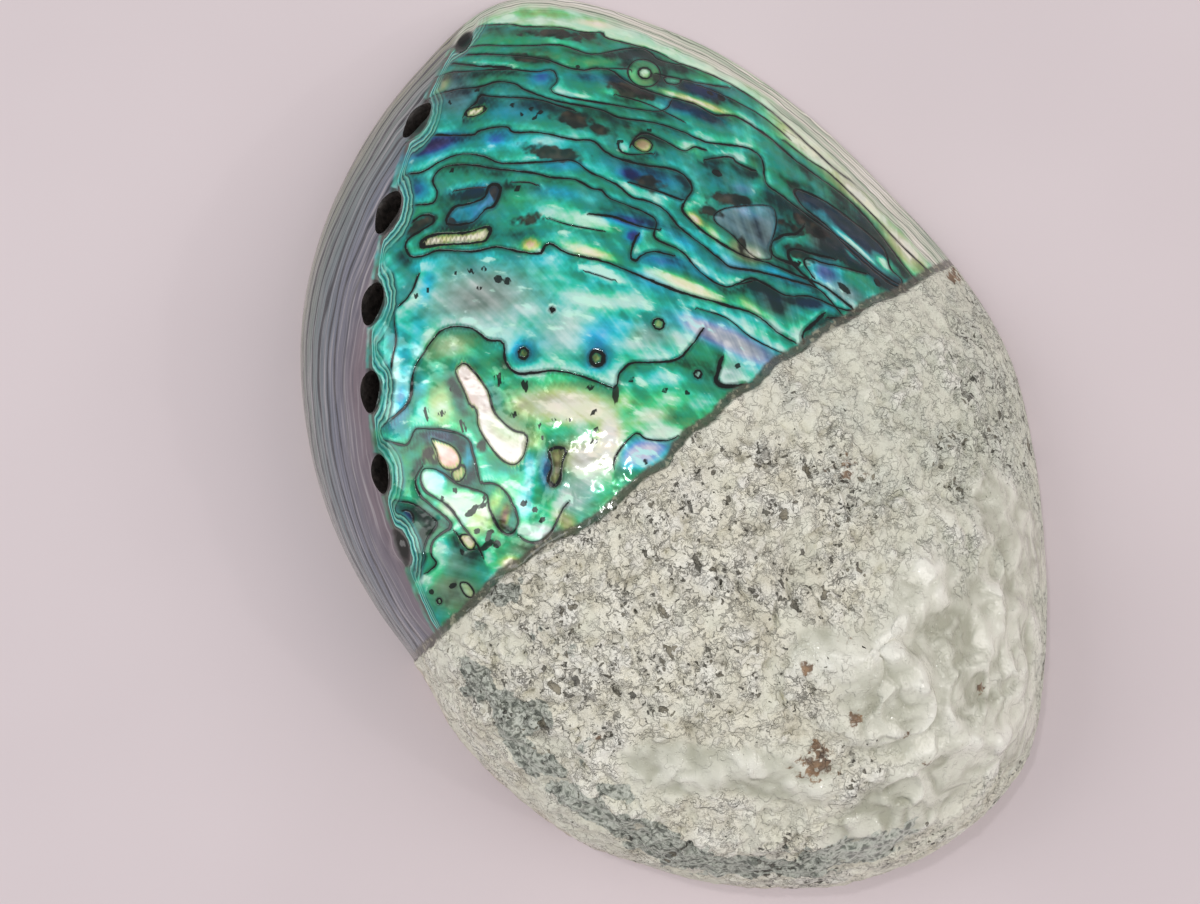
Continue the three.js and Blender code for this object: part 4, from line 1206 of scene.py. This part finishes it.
COLLAR = [(0.0, "#57514d"), (0.1, "#6f6a68"), (0.14, "#0f1a1a"), (0.2, "#a4e6dc"), (0.27, "#2fae9e"),
          (0.33, "#0c2c34"), (0.4, "#4aa7ae"), (0.47, "#9adcc4"), (0.52, "#0c2624"), (0.59, "#3c8f86"),
          (0.67, "#7cc8b2"), (0.73, "#0e302f"), (0.8, "#2d7f7e"), (1.0, "#3c938c")]
COLLAR_DEPTH = 2.6


def hole_collar(n, place, f, colour):
    """Nacre layers wrap round each hole on the dome's side, as thin lines that meet between the holes."""
    collar = with_shares(n, f["collar"], [(n("TexNoise", place, 4.0, 1 / 2.2, 3.0), 0.26)])
    tone = n("ValToRGB", n("Math MULTIPLY", collar, 1 / COLLAR_DEPTH), stops=COLLAR)
    near = n("MapRange", collar, 2.5, 2.0, 0.0, 0.94)
    near = n("Math MULTIPLY", near, n("MapRange", f["wall"], 0.2, -0.5))
    worn = n("MapRange", n("TexNoise", place, 18.0, 1 / 4.0, 2.0), -0.5, 0.15, 0.4, 1.0)
    near = n("Math MULTIPLY", near, worn)
    # The worn edge of each hole, coloured near-black.
    rim = with_shares(n, f["rim"], [(n("TexNoise", place, 19.0, 1.0, 2.0), 0.12)])
    return coated(n, colour, [(near, tone), (n("MapRange", rim, 0.3, 0.05, 0.0, 0.9), "#24201f")])


WALL_TONES = [(0.0, "#a5a28a"), (0.1, "#8f917f"), (0.24, "#77817b"), (0.4, "#707c80"), (0.56, "#6f7382"),
              (0.7, "#6e6b77"), (0.84, "#786b73"), (1.0, "#7c6e76")]
WALL_REACH = 26


def wall_below_holes(n, place, f, colour):
    """The steep wall by the holes: mauve-grey close to them, then thin layers that run with the lip."""
    flow = n("CombineXYZ", f["around"], f["lip_gap"], 0.0)
    wobble = n("TexNoise", n("VectorMath MULTIPLY", flow, (0.06, 0.25, 0)), 6.0, 1.0, 3.0)
    run = with_shares(n, f["lip_gap"], [(n("TexNoise", place, 6.0, 1 / 7.0, 2.0), 1.2)])
    tone = n("ValToRGB", n("Math MULTIPLY", run, 1 / WALL_REACH), stops=WALL_TONES)
    strong = growth_lines(n, with_shares(n, n("Math MULTIPLY", f["lip_gap"], 0.42), [(wobble, 0.5)]), 0.17)
    thin = growth_lines(n, with_shares(n, n("Math MULTIPLY", f["lip_gap"], 1.3), [(wobble, 1.1)]), 0.16)
    long_streak = n("TexNoise", n("VectorMath MULTIPLY", flow, (0.08, 1.4, 0)), 2.0, 1.0, 3.0)
    below = n("MapRange", run, 21, 15)
    colours = coated(n, tone, [
        (n("MapRange", long_streak, -0.1, 0.7, 0.0, 0.7), "#b3adb0"),
        (n("MapRange", long_streak, -0.2, -0.9, 0.0, 0.8), "#4a4b56"),
        (n("Math MULTIPLY", thin, n("Math MULTIPLY", below, 0.6)), "#474e54"),
        (n("Math MULTIPLY", strong, n("Math MULTIPLY", below, 0.92)), "#232930"),
    ])
    on_wall = with_shares(n, f["wall"], [(n("TexNoise", place, 0.0, 1 / 2.0, 2.0), 0.25)])
    return n("Mix", n("MapRange", on_wall, -0.5, 0.4), colour, colours)


def front_margin(n, place, f, colour):
    """The youngest shell at the outer lip: cream and pale green, in fine layers that run with the lip."""
    flow = n("CombineXYZ", f["around"], f["lip_gap"], 0.0)
    wobble = n("TexNoise", place, 9.0, 1 / 5.0, 2.0)
    shade = n("TexNoise", n("VectorMath MULTIPLY", flow, (0.12, 0.8, 0)), 1.0, 1.0, 4.0)
    tone = n("ValToRGB", n("Math MULTIPLY_ADD", shade, 0.5, 0.5), stops=[
        (0.1, "#8fa68f"), (0.35, "#c8d3bd"), (0.6, "#efebdd"), (0.9, "#fbf8f2")])
    thin = with_shares(n, n("Math MULTIPLY", f["lip_gap"], 1.5), [(wobble, 0.5), (shade, 0.3)])
    thin = growth_lines(n, thin, 0.16)
    broad = growth_lines(n, with_shares(n, n("Math MULTIPLY", f["lip_gap"], 0.6), [(wobble, 0.4)]), 0.1)
    tone = coated(n, tone, [
        (n("Math MULTIPLY", thin, 0.5), "#66775f"),
        (n("Math MULTIPLY", broad, 0.7), "#3f5243"),
    ])
    reach = with_shares(n, f["lip_gap"], [(wobble, 1.4)])
    wider_to_right = n("MapRange", f["around"], 96, 30, 0.0, 5.0)
    band = n("MapRange", n("Math SUBTRACT", reach, wider_to_right), 4.6, 2.2)
    return n("Mix", band, colour, tone)


OUTSIDE_FIELDS = (
    "hue", "pale", "grey", "umber", "boring", "growth", "around", "collar", "rim", "wall", "begun",
    "lip_gap", "crust", "lift", "slate", "stain", "glaze", "pitted",
    *[f"layer_{k}" for k in range(LAYER_SETS)], *[f"layer_away_{k}" for k in range(LAYER_SETS)],
)
BEVEL_WITH_SHADE = [(0.1, "#26251f"), (0.45, "#5a574b"), (0.6, "#4a463c"), (0.85, "#99937f")]


def make_outside():
    """Ground and buffed abalone nacre, with the lime crust left on the back half.
    The nacre's stacked plates give green, blue and rose; the lime is chalky, pitted and partly glazed."""
    material, n, place, f = start_material("polished_nacre_and_lime_crust", OUTSIDE_FIELDS)
    colour, core = polished_nacre(n, place, f)
    colour = hole_collar(n, place, f, colour)
    colour = front_margin(n, place, f, colour)
    colour = wall_below_holes(n, place, f, colour)
    # The hole that is only begun, coloured near-black in its dent.
    colour = coated(n, colour, [(n("MapRange", f["begun"], 1.2, 0.85, 0.0, 0.94), "#151413")])
    # A dull grey-brown bevel where the grinding ran up against the crust, its dark band partly painted
    # shade below the step.
    ragged = with_shares(n, f["crust"], [(n("TexNoise", place, 12.0, 1 / 1.2, 3.0), 0.24)])
    bevel_tone = n("Math MULTIPLY_ADD", n("TexNoise", place, 13.0, 1 / 0.9, 3.0), 0.5, 0.5)
    lime, lime_relief = lime_crust(n, place, f)
    on_crust = n("MapRange", ragged, -0.3, 0.1)
    off_crust = n("Math SUBTRACT", 1.0, on_crust)
    colour = coated(n, colour, [
        (n("MapRange", ragged, -1.7, -1.0, 0.0, 0.92), n("ValToRGB", bevel_tone, stops=BEVEL_WITH_SHADE)),
        (on_crust, lime),
    ])
    lime_roughness = n("Math MULTIPLY_ADD", f["glaze"], -0.56, 0.65)
    roughness = n("Math MULTIPLY_ADD", off_crust, 0.12, n("Math MULTIPLY", on_crust, lime_roughness))
    # The plates mirror a little, as pearl does; the crust, the bevel and the wall don't.
    metallic = n("MapRange", ragged, -1.0, -1.8, 0.0, 0.12)
    metallic = n("Math MULTIPLY", metallic, n("MapRange", f["wall"], 0.5, -0.5))
    ripples = with_shares(n, n("Math MULTIPLY", n("TexNoise", place, 20.0, 1 / 3.2, 1.0), 0.13), [
        (n("TexNoise", place, 21.0, 1 / 1.3, 1.0), 0.022), (core, -0.03)])
    relief = n("Math MULTIPLY_ADD", on_crust, lime_relief, n("Math MULTIPLY", off_crust, ripples))
    finish_material(n, {
        "IOR": 1.53, "Base Color": colour, "Roughness": roughness, "Metallic": metallic,
    }, relief, 1.0)
    return material


LIME = [(0.1, "#dcd7c3"), (0.35, "#ebe7d4"), (0.6, "#f4f1e2"), (0.85, "#f9f7ec")]
GLAZED_LIME = [(0.05, "#abab98"), (0.35, "#cfcfbf"), (0.65, "#e4e3d5"), (0.95, "#f2f1e6")]
STAINED_LIME = [(0.2, "#4d3019"), (0.8, "#96704a")]
# Dark colours laid in the pits.
PIT_TONES = [(0.15, "#26231b"), (0.5, "#4d4839"), (0.85, "#837a64")]
SLATE = [(0.03, "#c6cabf"), (0.16, "#a2a89c"), (0.28, "#636a62")]
# Spacing of the pits in mm, how they are squeezed, and how rare they are.
PIT_SIZES = [(1.5, (1, 1, 1), 0.0), (2.4, (1.6, 0.7, 1), -0.03), (0.9, (1, 1, 1), -0.07)]


def lime_crust(n, place, f):
    """Coralline crust and worm lime: warm white, peppered with dark pits, slate where it has flaked off."""
    bend = n("TexNoise", place, 40.0, 1.0, 2.0, out=COLOUR)
    bent = n("VectorMath MULTIPLY_ADD", bend, (0.6, 0.6, 0.6), place)
    bend = n("TexNoise", place, 47.0, 1 / 6.0, 1.0, out=COLOUR)
    drawn_out = n("VectorMath MULTIPLY_ADD", bend, (2, 2, 2), place)
    glaze, pitted = f["glaze"], f["pitted"]
    broad = n("TexNoise", place, 30.0, 1 / 5.0, 3.0)
    flakes = n("TexNoise", bent, 31.0, 1 / 1.7, 5.0)
    leaves = n("TexNoise", bent, 48.0, 1 / 3.4, 4.0)
    grit = n("TexNoise", place, 38.0, 1 / 0.45, 3.0)
    smears = n("TexNoise", bent, 50.0, 1 / 2.0, 3.0)
    folds = n("MapRange", n("Math ABSOLUTE", n("TexNoise", drawn_out, 49.0, 1 / 5.5, 1.0)), 0.0, 0.42)
    across = n("SeparateXYZ", place)
    # Clean stretches, where the lime lies smooth and unbroken.
    clean = with_shares(n, n("TexNoise", place, 39.0, 1 / 7.0, 2.0), [(pitted, -0.25)])
    clean = n("MapRange", clean, -0.15, 0.2)
    broken = n("Math MULTIPLY_ADD", clean, -0.55, 1.0)
    # Pits from half a millimetre to one and a half, crooked, some drawn out into short grooves.
    pits = 0.0
    for size, squeeze, rare in PIT_SIZES:
        cell = n("TexVoronoi", n("VectorMath MULTIPLY", bent, squeeze), 1 / size)
        pick = n("SeparateColor", cell.node.outputs["Color"])
        many = with_shares(n, n("Math SUBTRACT", pick, rare), [
            (pitted, 0.18), (glaze, -0.13), (broad, 0.24), (clean, -0.05)])
        open_width = n("MapRange", many, 0.91, 1.3, 0.0, 0.43)
        jagged = with_shares(n, cell, [(grit, 0.07)])
        pits = n("Math MAXIMUM", pits, n("MapRange", n("Math SUBTRACT", jagged, open_width), 0.03, -0.05))
    # Crooked cracks under the edges of flakes.
    crack = n("Math ABSOLUTE", n("TexNoise", bent, 44.0, 1 / 2.4, 3.0))
    gape = with_shares(n, n("Math MULTIPLY_ADD", n("TexNoise", place, 45.0, 1 / 3.0, 2.0), 0.1, -0.03),
                       [(pitted, 0.04), (glaze, -0.09), (broad, 0.06)])
    cracks = n("Math MULTIPLY", n("MapRange", n("Math SUBTRACT", crack, gape), 0.03, -0.03), broken)
    low = with_shares(n, f["lift"], [(flakes, 0.4), (grit, 0.1)])
    slate_edge = with_shares(n, f["slate"], [
        (n("TexNoise", place, 35.0, 1 / 4.0, 2.0), 2.8), (n("TexNoise", bent, 46.0, 1 / 1.5, 2.0), 0.7)])
    cell_wall = n("TexVoronoi", bent, 1 / 1.5, feature="DISTANCE_TO_EDGE")
    stain = with_shares(n, f["stain"], [(n("TexNoise", bent, 37.0, 1 / 1.1, 5.0), 0.6)])
    # The glaze's colour follows its height: painted shade in the hollows of its folds, painted highlight on
    # their crests.
    glaze_fold_shade = with_shares(n, n("Math MULTIPLY", f["lift"], 0.35), [(folds, 0.4), (broad, 0.12)])
    gritty = n("Math MULTIPLY_ADD", glaze, -0.85, 1.0)
    greyer = n("MapRange", with_shares(n, across, [(broad, 8.0)]), 8, 30, 0.0, 0.55)
    rosier = n("MapRange", f["lip_gap"], 12, 5, 0.0, 0.6)
    rosier = n("Math MULTIPLY", n("MapRange", across, -8, -24), rosier)
    smeared = with_shares(n, smears, [(pitted, 0.2), (glaze, -0.3)])
    glazed_lime = n("ValToRGB", n("Math ADD", glaze_fold_shade, 0.15), stops=GLAZED_LIME)
    rust = n("ValToRGB", n("Math MULTIPLY_ADD", flakes, 0.5, 0.5), stops=STAINED_LIME)
    dark_mottle = n("ValToRGB", n("Math MULTIPLY_ADD", leaves, 0.6, 0.5), stops=PIT_TONES)
    colour = coated(n, n("ValToRGB", n("Math MULTIPLY_ADD", broad, 0.5, 0.5), stops=LIME), [
        # Painted light and shade on the flakes: lighter where they stand high, darker where low and on each
        # ledge's low side.
        (n("MapRange", flakes, 0.1, 0.8, 0.0, 0.8), "#f0ede3"),
        (n("MapRange", flakes, -0.3, -1.0, 0.0, 0.3), "#bdb7a2"),
        (n("MapRange", leaves, 0.02, -0.06, 0.0, 0.16), "#a59c88"),
        (greyer, "#c8cebf"),
        (rosier, "#dcc6b4"),
        # Painted highlight where the crust stands above its usual height, painted shade where it lies below
        # it and in hollows.
        (n("MapRange", f["lift"], 0.1, 0.9, 0.0, 0.7), "#faf8ee"),
        (n("MapRange", f["lift"], -0.3, -1.0, 0.0, 0.4), "#a09b87"),
        (n("MapRange", low, -0.75, -1.3, 0.0, 0.6), "#777260"),
        (n("MapRange", smeared, 0.78, 0.95, 0.0, 0.75), "#6b675a"),
        (n("Math MULTIPLY", clean, 0.65), "#dfdecd"),
        (n("Math MULTIPLY", glaze, 0.92), glazed_lime),
        (n("MapRange", slate_edge, 0.2, -0.2, 0.0, 0.9), n("ValToRGB", cell_wall, stops=SLATE)),
        (n("MapRange", grit, 0.5, 1.0, 0.0, 0.35), "#f6f4ec"),
        (n("Math MULTIPLY", n("MapRange", grit, -0.4, -0.9, 0.0, 0.15), gritty), "#857f6b"),
        (n("MapRange", stain, 0.5, 0.8, 0.0, 0.9), rust),
        (n("Math MULTIPLY", cracks, 0.6), "#514b3f"),
        (n("Math MULTIPLY", pits, 0.85), dark_mottle),
    ])
    # Flakes lie over one another in ledges; glazed lime runs in smooth folds.
    ledges = with_shares(n, n("MapRange", leaves, -0.08, 0.08, 0.0, 0.5), [
        (n("MapRange", flakes, 0.08, 0.26), 0.2), (flakes, 0.34), (grit, 0.045), (smears, -0.15)])
    relief = with_shares(n, n("Math MULTIPLY", n("Math MULTIPLY", ledges, gritty), broken), [
        (n("Math MULTIPLY", n("Math MULTIPLY_ADD", leaves, 0.5, folds), glaze), 0.3),
        (pits, -0.5), (cracks, -0.3)])
    return colour, relief


def make_inside():
    """The living side of the shell: unpolished mother-of-pearl, silver with rose, green and blue waves."""
    material, n, place, f = start_material("natural_inner_nacre", ("growth",))
    waves = with_shares(n, n("Math MULTIPLY", f["growth"], 0.035), [
        (n("TexNoise", place, 41.0, 1 / 14, 3.0), 0.43)])
    cloudy = n("TexNoise", place, 42.0, 1 / 4, 4.0)
    colour = coated(n, n("ValToRGB", n("Math FRACT", waves), stops=[
        (0, "#cfd3d6"), (0.18, "#a9d4c6"), (0.34, "#7fc3c8"), (0.5, "#8fa6d0"), (0.66, "#c3a9cc"),
        (0.82, "#dcc3c4"), (1, "#cfd3d6")]), [
        (n("MapRange", cloudy, -0.4, 0.8, 0.0, 0.5), "#d9dcd9"),
        (n("MapRange", cloudy, 0.0, -1.0, 0.0, 0.35), "#3f8f8c"),
    ])
    finish_material(n, {
        "Base Color": colour, "Roughness": 0.22, "IOR": 1.55, "Coat Weight": 0.4, "Coat Roughness": 0.1,
        "Metallic": 0.45,
    }, n("TexNoise", place, 43.0, 1 / 2.5, 3.0), 0.05)
    return material


def make_lip():
    """The lip's cut edge: layers of dull lime and nacre in cream and grey-green."""
    material, n, place, f = start_material("layered_lip_edge", ("lip_gap",))
    shade = n("TexNoise", place, 52.0, 1 / 3, 3.0)
    layers = with_shares(n, n("Math MULTIPLY", f["lip_gap"], 0.9), [
        (n("TexNoise", place, 51.0, 1 / 3, 2.0), 0.43)])
    colour = coated(n, n("ValToRGB", n("Math MULTIPLY_ADD", shade, 0.5, 0.5), stops=[
        (0.1, "#9aa08c"), (0.5, "#c2bda8"), (0.9, "#d0c8ba")]), [
        (n("Math MULTIPLY", growth_lines(n, layers, 0.12), 0.5), "#5d6258"),
    ])
    finish_material(n, {
        "Base Color": colour, "IOR": 1.5, "Roughness": 0.42, "Coat Weight": 0.2, "Coat Roughness": 0.2,
    }, n("TexNoise", place, 53.0, 1 / 0.8, 3.0), 0.05)
    return material


def make_hole_wall():
    """Inside a breathing hole: worn shell, coloured near-black."""
    material, n, place, _ = start_material("worn_hole_wall")
    dark_mottle = n("TexNoise", place, 61.0, 1 / 0.8, 3.0)
    colour = n("ValToRGB", n("Math MULTIPLY_ADD", dark_mottle, 0.5, 0.5), stops=[
        (0.1, "#141210"), (0.9, "#3d3632")])
    finish_material(n, {
        "Base Color": colour, "IOR": 1.5, "Roughness": 0.5, "Coat Weight": 0.2, "Coat Roughness": 0.2,
    }, dark_mottle, 0.05)
    return material


# ---------------------------------------------------------------- floor, light and camera

CAMERA_HEIGHT = 300
CAMERA_OVER = (-10.75, 4.6)
CAMERA_TURN = -28
# How wide the view is at the floor.
VIEW_WIDTH = 189
SENSOR = 36
LIGHTS_AIM = (0, 0, 15)
FLOOR_HALF = 1200


def build_stage():
    material, n, place, _ = start_material("plain_pale_table")
    cloudy = n("MapRange", n("TexNoise", place, 71.0, 1 / 60, 2.0), -0.7, 0.7)
    colour = n("Mix", cloudy, "#dcd0d3", "#d8cccf")
    finish_material(n, {"Base Color": colour, "Roughness": 0.7, "Specular IOR Level": 0.2},
                    n("TexNoise", place, 72.0, 1.0, 2.0), 0.003)
    half = FLOOR_HALF * MM
    corners = [(-half, -half, 0), (half, -half, 0), (half, half, 0), (-half, half, 0)]
    mesh = bpy.data.meshes.new("floor")
    mesh.from_pydata(corners, [], [(0, 1, 2, 3)])
    mesh.materials.append(material)
    floor = bpy.data.objects.new("floor", mesh)
    scene.collection.objects.link(floor)


def add_light(name, place, size, power, colour):
    """A softbox aimed at the middle of the shell; place and size in mm."""
    data = bpy.data.lights.new(name, "AREA")
    data.shape = "RECTANGLE"
    data.size, data.size_y = (v * MM for v in size)
    data.energy = power
    data.color = linear(colour)[:3]
    light = bpy.data.objects.new(name, data)
    light.location = Vector(place) * MM
    aim = Vector(LIGHTS_AIM) * MM - light.location
    light.rotation_euler = aim.to_track_quat("-Z", "Y").to_euler()
    scene.collection.objects.link(light)


def build_lights():
    world = bpy.data.worlds.new("soft_room")
    world.use_nodes = True
    background = world.node_tree.nodes["Background"]
    background.inputs["Color"].default_value = linear("#eeeef0")
    background.inputs["Strength"].default_value = 0.54
    scene.world = world
    add_light("window", (-900, 700, 1000), (900, 900), 7.0, "#ffffff")
    add_light("lamp", (-57, 197, 640), (25, 25), 0.5, "#ffffff")
    add_light("far_lamp", (340, -416, 430), (22, 22), 0.2, "#ffffff")
    add_light("fill", (900, -600, 1000), (900, 900), 6.6, "#fff8f4")


def build_camera():
    data = bpy.data.cameras.new("camera")
    data.sensor_width = SENSOR
    data.lens = SENSOR * CAMERA_HEIGHT / VIEW_WIDTH
    data.clip_start = 0.01
    camera = bpy.data.objects.new("camera", data)
    camera.location = Vector((*CAMERA_OVER, CAMERA_HEIGHT)) * MM
    camera.rotation_euler = (0, 0, CAMERA_TURN * DEGREE)
    scene.collection.objects.link(camera)
    scene.camera = camera


# ---------------------------------------------------------------- the scene

scene = bpy.context.scene
scene.view_settings.view_transform = "Standard"
shell_materials = [make_outside(), make_inside(), make_lip(), make_hole_wall()]
shell = build_shell()
write_fields(shell.data)
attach(shell, "root")
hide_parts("shell")
build_stage()
build_lights()
build_camera()
